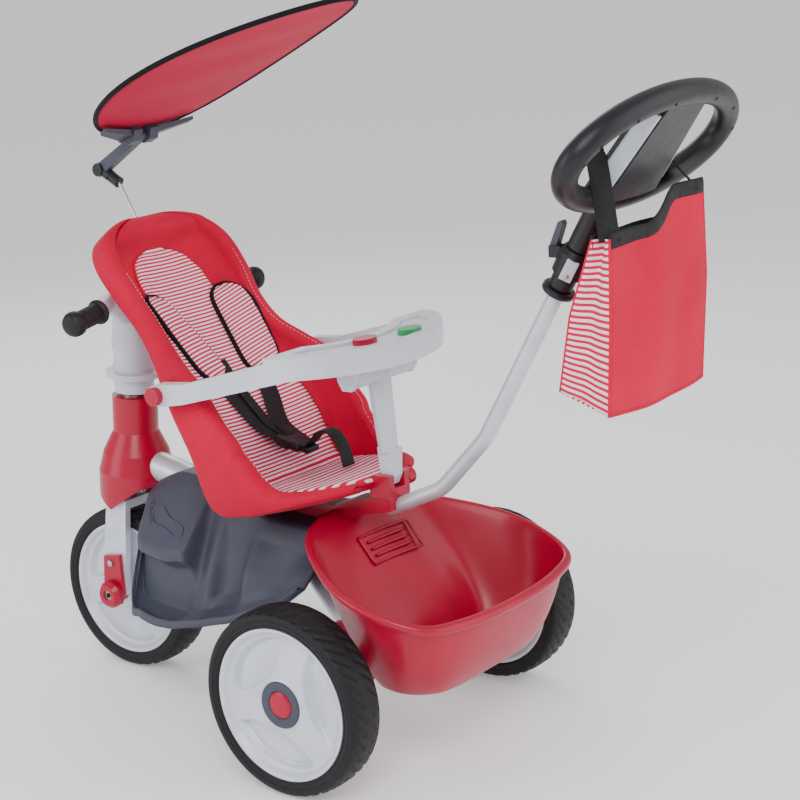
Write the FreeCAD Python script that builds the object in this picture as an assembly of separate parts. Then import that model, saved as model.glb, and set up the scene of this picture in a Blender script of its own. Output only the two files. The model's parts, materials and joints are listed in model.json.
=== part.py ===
import FreeCAD, Part
import math
import os
from FreeCAD import Vector

os.makedirs("parts", exist_ok=True)

# Children's tricycle with a parent's push handle. Millimetres, +X forward, +Y left, +Z up.
# Positions below count from the ground under the middle of the rear axle; save() moves every
# part back by ORIGIN_X, so that the origin is under the middle of the whole tricycle.

# ------------------------------------------------------------------ driving dimensions
ORIGIN_X = 78.54
WHEEL_R = 120.0
RIM_R = 98.0
WHEELBASE = 483.0
TRACK_HALF = 223.0
AXLE_R = 6.0
AXLE_OVERHANG = 13.5    # how far the rear axle reaches past the middle of each wheel
NUT_R = 11.0
NUT_THICK = 5.1
FRONT_AXLE_R = 7.5
SOCKET_MOUTH = 60.0     # blind bores for the pedal spindles in the front axle's ends
SOCKET_DEPTH = 20.0
SOCKET_R = 4.0
RECESS_DEPTH = 5.0      # rounded recesses between the spokes, measured on the disc's face
RECESS_LEVEL = 7.0
RUN_GAP = 0.06
GAP = 0.4

STEER_FOOT = Vector(464, 0, 288)
STEER_TOP = Vector(450, 0, 474)
STEER_TUBE_R = 12.7
HEAD_R = 32.4

SEAT_CREASE = Vector(177, 0, 330)
SEAT_RECLINE = 36.6
SHELL_INSET = 2.0
SHELL_WALL = 6.0
BOLSTER = 26.0
PAD_THICK = 7.0

TRAY_PIVOT = Vector(246, 0, 465)
TRAY_HALF = 158.0
TRAY_ARM = 18.0
TRAY_TOP = 531.0
TRAY_THICK = 28.0
TRAY_REAR_R = 205.0     # the table is a broad arc: its rear edge, its front edge and their middles
TRAY_REAR_X = 161.0
TRAY_FRONT_R = 150.0
TRAY_FRONT_X = 178.0
TRAY_RIM = 20.0         # raised border around the shallow recess of the table
STRUT_PIN_R = 5.0
STRUT_PIVOT = Vector(13, 0, 486)

POLE_R = 10.0
POLE_POINTS = [Vector(4, 0, 303), Vector(-80, 0, 341), Vector(-150, 0, 415), Vector(-287, 0, 650)]
RING_CENTRE = Vector(-388, 0, 781)
RING_TILT = 53.6
RING_HALF_W = 166.0
RING_HALF_L = 73.0
RING_TUBE_R = 14.6

CANOPY_CENTRE = Vector(229, 0, 875)
CANOPY_TILT = 23.6
CANOPY_HALF_L = 213.0
CANOPY_HALF_W = 133.0
CANOPY_EGG = 0.28
CANOPY_SAG = 0.24e-3
CANOPY_CUP = 0.40e-3
HOOP_R = 2.6
CANOPY_ELBOW = Vector(481, 0, 729)
CANOPY_ROD_TOP = Vector(451, 0, 712)
CANOPY_PIN_R = 3.0
CANOPY_LOWEST = -5.0    # degrees the arm may drop about its elbow
CANOPY_SCREW = Vector(402, 0, 777)


# ------------------------------------------------------------------ small tools
def save(name, shape):
    moved = shape.copy()
    moved.translate(Vector(-ORIGIN_X, 0, 0))
    moved.exportStep("parts/" + name + ".step")


def unit(vector):
    return vector * (1.0 / vector.Length)


def polygon(points):
    return Part.Face(Part.makePolygon(points + [points[0]]))


def rod(start, end, radius):
    return Part.makeCylinder(radius, (end - start).Length, start, end - start)


def cross_rod(x, z, y0, y1, radius):
    return rod(Vector(x, y0, z), Vector(x, y1, z), radius)


def block(x0, x1, y0, y1, z0, z1):
    return Part.makeBox(x1 - x0, y1 - y0, z1 - z0, Vector(x0, y0, z0))


def slab(outline, y0, y1):
    """Side-view outline of (x, z) points, extruded from y0 to y1."""
    face = polygon([Vector(x, y0, z) for x, z in outline])
    return face.extrude(Vector(0, y1 - y0, 0))


def lathe(profile, base, axis):
    """Profile of (radius, height) points turned about the axis through base."""
    solid = polygon([Vector(r, 0, h) for r, h in profile]).revolve(Vector(), Vector(0, 0, 1), 360)
    solid.Placement = FreeCAD.Placement(base, FreeCAD.Rotation(Vector(0, 0, 1), axis))
    return solid


def bent_path(points, bend):
    """Straight runs joined by tangent arcs of one radius."""
    edges = []
    start = points[0]
    for before, corner, after in zip(points, points[1:], points[2:]):
        into = unit(corner - before)
        out = unit(after - corner)
        half_turn = into.getAngle(out) / 2
        first = corner - into * (bend * math.tan(half_turn))
        last = corner + out * (bend * math.tan(half_turn))
        inward = unit(out - into)
        middle = corner + inward * (bend / math.cos(half_turn) - bend)
        edges.append(Part.LineSegment(start, first).toShape())
        edges.append(Part.Arc(first, middle, last).toShape())
        start = last
    edges.append(Part.LineSegment(start, points[-1]).toShape())
    return Part.Wire(edges)


def bent_rod(points, bend, radius):
    circle = Part.Wire(Part.makeCircle(radius, points[0], points[1] - points[0]))
    return bent_path(points, bend).makePipeShell([circle], True, True)


def bent_tube(points, bend, outer, inner):
    return bent_rod(points, bend, outer).cut(bent_rod(points, bend, inner))


def oval_slab(x, y, half_x, half_y, z0, z1):
    """Upright slab with an oval outline that is wider along Y."""
    centre = Vector(x, y, z0)
    oval = Part.Ellipse(centre + Vector(0, half_y, 0), centre + Vector(half_x, 0, 0), centre)
    return Part.Face(Part.Wire(oval.toShape())).extrude(Vector(0, 0, z1 - z0))


def ruled_loft(sections):
    wires = [Part.makePolygon(points + [points[0]]) for points in sections]
    return Part.makeLoft(wires, True, True)


def rounded(points, steps):
    """A closed outline through the same points with its corners rounded off."""
    out = []
    for i in range(len(points)):
        before, start, end, after = [points[(i + k) % len(points)] for k in (-1, 0, 1, 2)]
        for step in range(steps):
            t = step / float(steps)
            out.append((start * 2 + (end - before) * t
                        + (before * 2 - start * 5 + end * 4 - after) * t ** 2
                        + (start * 3 - before - end * 3 + after) * t ** 3) * 0.5)
    return out


def mirror(shape):
    return shape.mirror(Vector(), Vector(0, 1, 0))


def fuse(shapes):
    return shapes[0].fuse(shapes[1:]).removeSplitter()


STEER_UP = unit(STEER_TOP - STEER_FOOT)
STEER_AHEAD = Vector(STEER_UP.z, 0, -STEER_UP.x)


def on_steering(height, ahead=0.0, side=0.0):
    return STEER_FOOT + STEER_UP * height + STEER_AHEAD * ahead + Vector(0, side, 0)


# ------------------------------------------------------------------ wheels
TYRE_PROFILE = [(RIM_R, -24), (104, -26), (111, -27), (116, -25), (118.5, -20), (120, -8),
                (120, 8), (118.5, 20), (116, 25), (111, 27), (104, 26), (RIM_R, 24)]


def tyre(centre):
    return lathe(TYRE_PROFILE, centre, Vector(0, 1, 0))


def spoke_gaps(centre, out):
    """Three bean-shaped recesses between the broad spokes of a wheel disc."""
    gaps = []
    for turn in (30, 150, 270):
        wide = Part.makeCylinder(79, RECESS_DEPTH, Vector(), Vector(0, 0, 1), 74)
        hub = Part.makeCylinder(41, RECESS_DEPTH, Vector(), Vector(0, 0, 1))
        bean = wide.cut(hub)
        bean.rotate(Vector(), Vector(0, 0, 1), turn - 37)
        gaps.append(bean)
    recess = gaps[0].fuse(gaps[1:])
    recess.translate(Vector(0, 0, RECESS_LEVEL))
    facing = FreeCAD.Placement(centre, FreeCAD.Rotation(Vector(0, 0, 1), out))
    recess.Placement = facing.multiply(recess.Placement)
    return recess


def rear_wheel(side, name):
    centre = Vector(0, side * TRACK_HALF, WHEEL_R)
    out = Vector(0, side, 0)
    bore = AXLE_R + RUN_GAP
    rim_profile = [(bore, -24), (22, -24), (26, -2), (86, -2), (90, -24), (RIM_R, -24), (RIM_R, 24),
                   (94, 25), (88, 17), (84, 11), (34, 11), (30, 16), (12.5, 16), (12.5, 8), (bore, 8)]
    rim = lathe(rim_profile, centre, out).cut(spoke_gaps(centre, out))
    ring = lathe([(17, 16), (30, 16), (31, 21), (29, 24), (19, 24), (17, 22)], centre, out)
    button = lathe([(0, 16), (17, 16), (17, 23), (14, 25), (0, 26)], centre, out)
    save("rear_tyre_" + name, tyre(centre))
    save("rear_rim_" + name, rim)
    save("hub_ring_" + name, ring)
    save("hub_button_" + name, button)


def front_wheel():
    centre = Vector(WHEELBASE, 0, WHEEL_R)
    half = [(FRONT_AXLE_R, 24), (24, 24), (28, 11), (84, 11), (88, 17), (94, 24), (RIM_R, 24)]
    profile = half + [(r, -h) for r, h in reversed(half)]
    rim = lathe(profile, centre, Vector(0, 1, 0))
    rim = rim.cut(spoke_gaps(centre, Vector(0, 1, 0)))
    rim = rim.cut(spoke_gaps(centre, Vector(0, -1, 0)))
    axle = cross_rod(WHEELBASE, WHEEL_R, -SOCKET_MOUTH, SOCKET_MOUTH, FRONT_AXLE_R)
    for side in (-1, 1):
        mouth = side * SOCKET_MOUTH
        axle = axle.cut(cross_rod(WHEELBASE, WHEEL_R, mouth - side * SOCKET_DEPTH, mouth, SOCKET_R))
    save("front_tyre", tyre(centre))
    save("front_rim", rim)
    save("front_axle", axle)


front_wheel()
rear_wheel(1, "left")
rear_wheel(-1, "right")

AXLE_END = TRACK_HALF + AXLE_OVERHANG
rear_axle = cross_rod(0, WHEEL_R, -AXLE_END, AXLE_END, AXLE_R)
axle_nuts = []
for side in (-1, 1):
    inner = side * (AXLE_END - NUT_THICK)
    nut = cross_rod(0, WHEEL_R, inner, side * AXLE_END, NUT_R).cut(rear_axle)
    axle_nuts.append(nut)

# ------------------------------------------------------------------ frame tubes and head
head_tube = lathe([(15.5, -14), (19, -14), (19, 124), (15.5, 124)], STEER_FOOT, STEER_UP)
BUSH_BORE = STEER_TUBE_R + RUN_GAP
bushes = [lathe([(BUSH_BORE, -17), (19, -17), (19, -14), (15.5, -14), (15.5, 6), (BUSH_BORE, 6)],
                STEER_FOOT, STEER_UP),
          lathe([(BUSH_BORE, 104), (15.5, 104), (15.5, 124), (19, 124), (19, 127), (BUSH_BORE, 127)],
                STEER_FOOT, STEER_UP)]

main_tube_path = [Vector(430, 0, 309), Vector(390, 0, 303), Vector(150, 0, 240)]
main_tube = bent_tube(main_tube_path, 120, 21, 18).cut(rod(on_steering(-40), on_steering(140), 19))
stay_outline = [Vector(185, 12, 249), Vector(150, 24, 234), Vector(12, 88, 166)]
stay_core = bent_rod(stay_outline, 60, 12)
stay_left = stay_core.cut(bent_rod(stay_outline, 60, 9.5)).cut(bent_rod(main_tube_path, 120, 21))

cover_outer = [(19, 122), (HEAD_R, 122), (HEAD_R, 70), (47, 40), (54, 12), (54, -42), (19, -42)]
cover_inner = [(19, 118), (28.4, 118), (28.4, 70), (43, 39), (50, 12), (50, -43), (19, -43)]
head_cover = lathe(cover_outer, STEER_FOOT, STEER_UP).cut(lathe(cover_inner, STEER_FOOT, STEER_UP))
shield = slab([(380, 420), (560, 420), (560, 290), (516, 276), (468, 250), (424, 280), (380, 290)], -60, 60)
head_cover = head_cover.common(shield)
web = lathe([(19, 8), (50, 8), (50, 12), (19, 12)], STEER_FOOT, STEER_UP)
head_cover = head_cover.fuse(web).cut(bent_rod(main_tube_path, 120, 21)).cut(head_tube)
cover_left = head_cover.common(block(380, 560, 0, 80, 240, 430))
cover_right = head_cover.common(block(380, 560, -80, 0, 240, 430))

# ------------------------------------------------------------------ footrest
# Half sections from the saddle over the tube to the turned-up rim of the deck: (y, z) points.
FOOTREST_SECTIONS = [
    (404, [(0, 288), (24, 288), (44, 266), (52, 246), (56, 240)]),
    (372, [(0, 306), (30, 306), (50, 262), (98, 140), (106, 136)]),
    (326, [(0, 320), (38, 320), (58, 268), (126, 134), (136, 142)]),
    (240, [(0, 300), (50, 300), (72, 246), (140, 140), (150, 150)]),
    (200, [(0, 290), (60, 290), (76, 240), (140, 150), (150, 161)]),
    (150, [(0, 284), (70, 284), (80, 240), (138, 168), (148, 180)]),
    (91, [(0, 278), (60, 278), (74, 244), (130, 192), (140, 202)]),
    (62, [(0, 274), (50, 274), (64, 250), (118, 216), (128, 224)])]
FOOTREST_WALL = 5.0


def footrest_section(x, half):
    top = [Vector(x, y, z) for y, z in half]
    under = [Vector(x, max(y - 2, 0), z - FOOTREST_WALL) for y, z in half]
    left = top + under[::-1]
    return left


def half_footrest():
    return ruled_loft([footrest_section(x, half) for x, half in FOOTREST_SECTIONS])


footrest = half_footrest()
footrest = footrest.fuse(mirror(footrest)).removeSplitter()
tube_room = bent_rod(main_tube_path, 120, 21)
head_room = lathe([(0, -60), (54.5, -60), (54.5, 80), (0, 80)], STEER_FOOT, STEER_UP)
footrest = footrest.cut(tube_room).cut(head_room).cut(stay_core).cut(mirror(stay_core))

# ------------------------------------------------------------------ rear axle housing, socket, bracket
housing = cross_rod(0, WHEEL_R, -190, 190, 17)
for side in (-1, 1):
    ear = slab([(-28, 106), (-31, 122), (-16, 150), (-1, 184), (26, 176), (24, 108), (-10, 101)], 72, 108)
    housing = housing.fuse(ear if side > 0 else mirror(ear))
housing = housing.removeSplitter().cut(rear_axle).cut(stay_core).cut(mirror(stay_core))

pole_core = bent_rod(POLE_POINTS, 60, POLE_R)
pole = pole_core.cut(bent_rod(POLE_POINTS, 60, POLE_R - 1.4))
socket_outline = [(-12, 326), (60, 311), (86, 300), (150, 293), (176, 293), (176, 252), (140, 252),
                  (90, 276), (30, 296), (-12, 306)]
pole_socket = slab(socket_outline, -20, 20).cut(pole_core).cut(tube_room)
pole_socket = pole_socket.cut(stay_core).cut(mirror(stay_core))
seat_bracket = block(186, 222, -46, 46, 268, 298).cut(tube_room)
footrest = footrest.cut(pole_socket).cut(seat_bracket)

# ------------------------------------------------------------------ basket
BASKET_WALL = 3.5
# Level outlines: height at x = 0, rise per millimetre forward, half outline from front to rear.
BASKET_FLOOR = (110, 0.0, [(-42, 0), (-42, 80), (-56, 116), (-90, 128), (-122, 116), (-140, 84), (-143, 0)])
BASKET_MIDDLE = (181, 0.2, [(-14, 0), (-14, 92), (-26, 136), (-92, 158), (-136, 146), (-160, 104), (-165, 0)])
BASKET_RIM = (270, 0.3, [(78, 0), (74, 62), (34, 128), (-60, 184), (-150, 168), (-178, 104), (-186, 0)])


def full_outline(level, inset, lift):
    """Mirror a half outline to a closed one, drawn in towards the middle by inset."""
    height, rise, half = level
    middle_x = (half[0][0] + half[-1][0]) / 2
    points = []
    for x, y in half:
        inner_x = x + (inset if x < middle_x else -inset)
        points.append(Vector(inner_x, y - inset if y > 0 else 0, height + rise * inner_x + lift))
    return rounded(points + [Vector(p.x, -p.y, p.z) for p in points[-2:0:-1]], 3)


def basket_level(t):
    """The outline at t on a smooth curve through the floor (0), middle (1) and rim (2)."""
    shares = ((1 - t) * (2 - t) / 2, t * (2 - t), t * (t - 1) / 2)
    levels = (BASKET_FLOOR, BASKET_MIDDLE, BASKET_RIM)
    height = sum(share * level[0] for share, level in zip(shares, levels))
    rise = sum(share * level[1] for share, level in zip(shares, levels))
    half = []
    for corners in zip(*[level[2] for level in levels]):
        half.append(tuple(sum(share * c[k] for share, c in zip(shares, corners)) for k in (0, 1)))
    return height, rise, half


BASKET_LEVELS = [basket_level(t) for t in (0, 0.5, 1, 1.5, 2)]
basket_outer = ruled_loft([full_outline(level, 0, 0) for level in BASKET_LEVELS])
room_lifts = [BASKET_WALL, BASKET_WALL / 2, 0, 0, 0.5]
basket_room = ruled_loft([full_outline(level, BASKET_WALL, lift)
                          for level, lift in zip(BASKET_LEVELS, room_lifts)])
basket_lip = ruled_loft([full_outline(BASKET_RIM, -6, -7), full_outline(BASKET_RIM, -6, 0)])
basket = basket_outer.fuse(basket_lip).cut(basket_room)
basket = basket.cut(housing).cut(pole_core).cut(pole_socket).cut(footrest)

# ------------------------------------------------------------------ fork and handlebar
CROWN_TOP = -26.0
fork_leg = slab([(449, 262), (487, 262), (504, 160), (503, 120), (483, 104), (463, 120), (460, 160)], 33, 43)
fork_crown = slab([(449, 262), (487, 262), (486, 249), (450, 249)], -43, 43)
fork = fuse([fork_leg, mirror(fork_leg), fork_crown])
fork = fork.cut(cross_rod(WHEELBASE, WHEEL_R, -50, 50, 9))
steering_tube = lathe([(10.2, CROWN_TOP), (STEER_TUBE_R, CROWN_TOP), (STEER_TUBE_R, 182), (10.2, 182)],
                      STEER_FOOT, STEER_UP).cut(fork)
neck = lathe([(STEER_TUBE_R, 128), (28, 128), (28, 148), (39.5, 150), (39.5, 158), (30, 160),
              (28, 182), (STEER_TUBE_R, 182)], STEER_FOOT, STEER_UP)

# Each grip runs from its collar outwards and slightly down.
GRIP_INNER = Vector(379, 126, 558)
GRIP_OUTER = Vector(371, 190, 550)
GRIP_R = 13.0
GRIP_AXIS = unit(GRIP_OUTER - GRIP_INNER)
BAR_BEND = Vector(406, 84, 561)
BAR_MIDDLE = Vector(440, 24, 530)
half_path = [GRIP_OUTER - GRIP_AXIS * 4, GRIP_INNER, BAR_BEND, BAR_MIDDLE]
bar_path = half_path + [Vector(p.x, -p.y, p.z) for p in half_path[::-1]]
bar_tube = bent_rod(bar_path, 16, 9)
bar_cover = bent_rod(bar_path[1:-1], 16, 12)
stem = lathe([(0, 182), (28, 182), (31, 196), (28, 232), (20, 246), (0, 246)], STEER_FOOT, STEER_UP)
handlebar = fuse([bar_cover, stem, bar_tube])
grip = fuse([rod(GRIP_INNER, GRIP_OUTER, GRIP_R),
             rod(GRIP_INNER, GRIP_INNER + GRIP_AXIS * 6, GRIP_R + 3.5),
             rod(GRIP_OUTER - GRIP_AXIS * 12, GRIP_OUTER + GRIP_AXIS * 4, GRIP_R + 4)])
grip_left = grip.cut(handlebar)

boss_profile = [(7.56, 33), (15, 33), (15, 46), (20, 50), (20, 57), (15, 63), (7.56, 63)]
fork_end = lathe(boss_profile, Vector(WHEELBASE, 0, WHEEL_R), Vector(0, 1, 0))
shoe = slab([(464, 120), (466, 180), (497, 175), (502, 120), (494, 104), (472, 104)], 43, 49)
fork_end = fork_end.fuse(shoe).cut(cross_rod(WHEELBASE, WHEEL_R, 30, 70, 7.56)).cut(fork).removeSplitter()
fork_screw = cross_rod(483, 166, 49, 52, 4.5)


# ------------------------------------------------------------------ seat
RECLINE = math.radians(SEAT_RECLINE)
BACK_UP = Vector(math.sin(RECLINE), 0, math.cos(RECLINE))
BACK_OUT = Vector(-math.cos(RECLINE), 0, math.sin(RECLINE))
PAN_UP = Vector(0, 0, 1)
CREASE_OUT = unit(PAN_UP + BACK_OUT)

# Seat stations from the nose to the head: origin, outward direction, half width, rim height,
# depth behind the surface, height of the widest point.
SEAT_STATIONS = [
    (Vector(14, 0, 348), PAN_UP, 62, 1, 17, -6),
    (Vector(32, 0, 346), PAN_UP, 92, 1, 20, -8),
    (Vector(58, 0, 343), PAN_UP, 116, 1, 24, -10),
    (Vector(84, 0, 340), PAN_UP, 130, 4, 28, -14),
    (Vector(110, 0, 337), PAN_UP, 138, 20, 31, -18),
    (Vector(134, 0, 334), PAN_UP, 142, 52, 33, -20),
    (SEAT_CREASE, CREASE_OUT, 145, 78, 36, -14),
    (SEAT_CREASE + BACK_UP * 66, BACK_OUT, 146, 68, 35, 8),
    (SEAT_CREASE + BACK_UP * 125, BACK_OUT, 144, 66, 35, 18),
    (SEAT_CREASE + BACK_UP * 165, BACK_OUT, 134, 50, 32, 16),
    (SEAT_CREASE + BACK_UP * 205, BACK_OUT, 121, 35, 26, 10),
    (SEAT_CREASE + BACK_UP * 250, BACK_OUT, 117, 31, 20, 9),
    (SEAT_CREASE + BACK_UP * 300, BACK_OUT, 123, 33, 20, 8),
    (SEAT_CREASE + BACK_UP * 350, BACK_OUT, 121, 32, 22, 4),
    (SEAT_CREASE + BACK_UP * 385, BACK_OUT, 98, 28, 26, -4),
    (SEAT_CREASE + BACK_UP * 404, BACK_OUT, 56, 20, 18, -4)]
ARC_STEPS = 5


def trough(station, inset, lift, rim_drop):
    """Open U across the seat, from the right rim under the middle to the left rim."""
    origin, out, half_width, rim, depth, belly = station
    width = half_width - inset
    low = -depth + lift
    knee = max(belly, low + 6)
    top = max(rim - rim_drop, knee + 1)
    points = [origin + Vector(0, -width, 0) + out * top]
    for step in range(-ARC_STEPS, ARC_STEPS + 1):
        angle = math.radians(90.0 * step / ARC_STEPS)
        side = width * math.sin(angle)
        level = low + (knee - low) * (1 - math.cos(angle))
        points.append(origin + Vector(0, side, 0) + out * level)
    points.append(origin + Vector(0, width, 0) + out * top)
    return points


def between(stations, outer, inner):
    return ruled_loft([trough(s, *outer) + trough(s, *inner)[::-1] for s in stations])


RIM_OF_SHELL = 9.0
shell_out = (SHELL_INSET, SHELL_INSET, RIM_OF_SHELL)
shell_in = (SHELL_INSET + SHELL_WALL, SHELL_INSET + SHELL_WALL, RIM_OF_SHELL)


def seat_shell_solid():
    return between(SEAT_STATIONS, shell_out, shell_in)


def cover_inner(station):
    """Inside of the padding: as wide as the bolsters leave it, and down to the seat surface."""
    origin, out, half_width, rim, depth, belly = station
    width = half_width - BOLSTER
    low = -PAD_THICK
    knee = max(min(belly + 14, rim - 3), low + 1.5)
    top = max(rim, knee + 1)
    points = [origin + Vector(0, -width, 0) + out * top]
    for step in range(-ARC_STEPS, ARC_STEPS + 1):
        angle = math.radians(90.0 * step / ARC_STEPS)
        side = width * math.sin(angle)
        level = low + (knee - low) * (1 - math.cos(angle))
        points.append(origin + Vector(0, side, 0) + out * level)
    points.append(origin + Vector(0, width, 0) + out * top)
    return points


def seat_cover_solid():
    sections = []
    for station in SEAT_STATIONS:
        outside = trough(station, SHELL_INSET + SHELL_WALL, SHELL_INSET + SHELL_WALL, 0)
        sections.append(outside + cover_inner(station)[::-1])
    return ruled_loft(sections)


seat_shell = seat_shell_solid()
seat_cover = seat_cover_solid().cut(seat_shell)


def seat_strip(stations, half_width, bottom, top):
    sections = []
    for origin, out, width, rim, depth, belly in stations:
        half = min(half_width, width - BOLSTER - 22)
        sections.append([origin + Vector(0, -half, 0) + out * top, origin + Vector(0, half, 0) + out * top,
                         origin + Vector(0, half, 0) + out * bottom,
                         origin + Vector(0, -half, 0) + out * bottom])
    return ruled_loft(sections)


seat_pad = seat_strip(SEAT_STATIONS[1:14], 74, -PAD_THICK, 0).cut(seat_cover)


def shoulder_pad(side):
    low = SEAT_CREASE + BACK_UP * 150
    high = SEAT_CREASE + BACK_UP * 282
    sections = []
    for foot, inner, outer, base in ((low, 12, 54, 1), (high, 26, 70, 3)):
        corners = [(inner, base), (outer, base + 2), (outer, base + 12), (inner, base + 12)]
        sections.append([foot + Vector(0, side * y, 0) + BACK_OUT * n for y, n in corners])
    return ruled_loft(sections).cut(seat_cover).cut(seat_pad)


shoulder_pads = [shoulder_pad(1), shoulder_pad(-1)]


def strap(start, end, width, thick):
    """A flat piece of webbing from start to end, lying in the seat."""
    along = unit(end - start)
    across = Vector(0, 1, 0) if abs(along.y) < 0.9 else Vector(1, 0, 0)
    flat = unit(along.cross(across))
    across = unit(flat.cross(along))
    corners = [start + across * a + flat * f
               for a, f in ((-width / 2, 0), (width / 2, 0), (width / 2, thick), (-width / 2, thick))]
    return polygon(corners).extrude(end - start)


harness = []
for side in (-1, 1):
    harness.append(strap(SEAT_CREASE + BACK_UP * 148 + BACK_OUT * 8 + Vector(0, side * 33, 0),
                         Vector(164, side * 23, 366), 22, 2.5))
    harness.append(strap(Vector(190, side * 98, 366), Vector(168, side * 25, 366), 22, 2.5))
harness.append(strap(Vector(76, 0, 351), Vector(139, 0, 362), 22, 2.5))
harness = [piece.cut(seat_cover) for piece in harness]
buckle = block(140, 163, -22, 22, 356, 370)

# Red lug on the nose of the seat: two ears with a slot between them, open to the top and the rear.
LUG_SLOT = 11.0
LUG_FLOOR = 334.0
FOOT_HALF = 9.6
lug = slab([(-12, 322), (20, 322), (20, 346), (14, 352), (-12, 352)], -22, 22)
lug = lug.cut(block(-13, 12, -LUG_SLOT, LUG_SLOT, LUG_FLOOR, 353))
lug = lug.fuse(cross_rod(-2, 340, -36, -22, 11)).cut(seat_cover).removeSplitter()
seat_lug = lug.cut(pole_socket).cut(seat_shell)

# ------------------------------------------------------------------ tray with its strut and buttons
ARM_IN = TRAY_HALF - TRAY_ARM / 2
ARM_OUT = TRAY_HALF + TRAY_ARM / 2
arm_outline = [(250, 452), (258, 458), (260, 468), (256, 476), (246, 480), (200, 484), (40, 529),
               (10, TRAY_TOP), (-10, TRAY_TOP), (-10, 506), (34, 502), (200, 458), (238, 451)]
arm_pivot = cross_rod(TRAY_PIVOT.x, TRAY_PIVOT.z, 140, 175, 8 + RUN_GAP)
rear_limit = Part.makeCylinder(TRAY_REAR_R, 100, Vector(TRAY_REAR_X, 0, 440))
tray_arm = slab(arm_outline, ARM_IN, ARM_OUT).cut(arm_pivot).common(rear_limit)
table = Part.makeCylinder(TRAY_REAR_R, TRAY_THICK, Vector(TRAY_REAR_X, 0, TRAY_TOP - TRAY_THICK))
table = table.common(block(-60, 60, -ARM_OUT, ARM_OUT, 480, 560))
table = table.cut(Part.makeCylinder(TRAY_FRONT_R, 60, Vector(TRAY_FRONT_X, 0, 490)))
hanger = slab([(-3, 507), (29, 507), (27, 484), (20, 472), (6, 472), (-1, 484)], 58, 66)
strut_pin = cross_rod(STRUT_PIVOT.x, STRUT_PIVOT.z, -64, 64, STRUT_PIN_R)
tray = fuse([table, tray_arm, mirror(tray_arm), hanger, mirror(hanger), strut_pin])
tray_recess = Part.makeCylinder(TRAY_REAR_R - TRAY_RIM, 4, Vector(TRAY_REAR_X, 0, TRAY_TOP - 3))
tray_recess = tray_recess.cut(Part.makeCylinder(TRAY_FRONT_R + 14, 6, Vector(TRAY_FRONT_X, 0, TRAY_TOP - 4)))
tray = tray.cut(tray_recess.common(block(-60, 44, -130, 130, 500, 560)))

# Buttons on the table: middle and half sizes along X and Y.
BUTTONS = {"red_button": (8, 30, 12, 20), "green_button": (-8, -43, 12, 20)}
for name, (x, y, half_x, half_y) in BUTTONS.items():
    save(name, oval_slab(x, y, half_x, half_y, TRAY_TOP - 10, TRAY_TOP + 4))
    tray = tray.cut(oval_slab(x, y, half_x + GAP, half_y + GAP, TRAY_TOP - 15, TRAY_TOP + 20))

barrel = cross_rod(STRUT_PIVOT.x, STRUT_PIVOT.z, -57, 57, 14)
column = ruled_loft([[Vector(13 + r * math.cos(a), r * 1.15 * math.sin(a), z)
                      for a in [math.radians(30 * k) for k in range(12)]]
                     for r, z in ((15, 486), (14, 440), (12, 380))])
column.rotate(Vector(13, 0, 486), Vector(0, 1, 0), 5.5)
foot_outline = [(-12, 386), (14, 386), (10, 349), (4, 337), (-4, 337), (-10, 349)]
foot = slab(foot_outline, -FOOT_HALF, FOOT_HALF)
strut = fuse([barrel, column, foot])
strut = strut.cut(cross_rod(STRUT_PIVOT.x, STRUT_PIVOT.z, -70, 70, STRUT_PIN_R + RUN_GAP))

knob = cross_rod(TRAY_PIVOT.x, TRAY_PIVOT.z, 134, ARM_OUT + GAP, 8)
knob = knob.fuse([cross_rod(TRAY_PIVOT.x, TRAY_PIVOT.z, ARM_OUT + GAP, ARM_OUT + 9, 12),
                  cross_rod(TRAY_PIVOT.x, TRAY_PIVOT.z, 134, ARM_IN - GAP, 14)]).removeSplitter()
knob = knob.cut(seat_shell).cut(seat_cover)

# ------------------------------------------------------------------ canopy
SLOPE = math.radians(CANOPY_TILT)
CANOPY_BACK = Vector(-math.cos(SLOPE), 0, math.sin(SLOPE))
CANOPY_UP = Vector(math.sin(SLOPE), 0, math.cos(SLOPE))
CANOPY_STEPS = 14


def canopy_point(along, side, lift):
    """A point of the curved egg-shaped sheet; along runs from front to rear, side from -1 to 1."""
    u = CANOPY_HALF_L * along
    half = CANOPY_HALF_W * math.sqrt(max(0.0, 1 - along ** 2)) * (1 - CANOPY_EGG * along)
    w = half * side
    rise = -CANOPY_SAG * u ** 2 + CANOPY_CUP * w ** 2
    return CANOPY_CENTRE + CANOPY_BACK * u + Vector(0, w, 0) + CANOPY_UP * (rise + lift)


def canopy_sheet(reach, thick):
    sections = []
    for step in range(CANOPY_STEPS + 1):
        along = -math.cos(math.pi * step / CANOPY_STEPS) * reach
        sides = [k / 4.0 for k in range(-4, 5)]
        top = [canopy_point(along, s * reach, thick / 2) for s in sides]
        under = [canopy_point(along, s * reach, -thick / 2) for s in sides]
        sections.append(top + under[::-1])
    return ruled_loft(sections)


hoop_curve = Part.BSplineCurve()
hoop_curve.interpolate([canopy_point(-math.cos(math.pi * k / 16), 1.0, 0) for k in range(17)])
hoop_circle = Part.Wire(Part.makeCircle(HOOP_R, hoop_curve.value(0), hoop_curve.tangent(0)[0]))
hoop_half = Part.Wire(hoop_curve.toShape()).makePipeShell([hoop_circle], True, False)
canopy_hoop = Part.makeCompound([hoop_half, mirror(hoop_half)])
canopy_fabric = canopy_sheet(0.972, 2.0).cut(hoop_half).cut(mirror(hoop_half))

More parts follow.
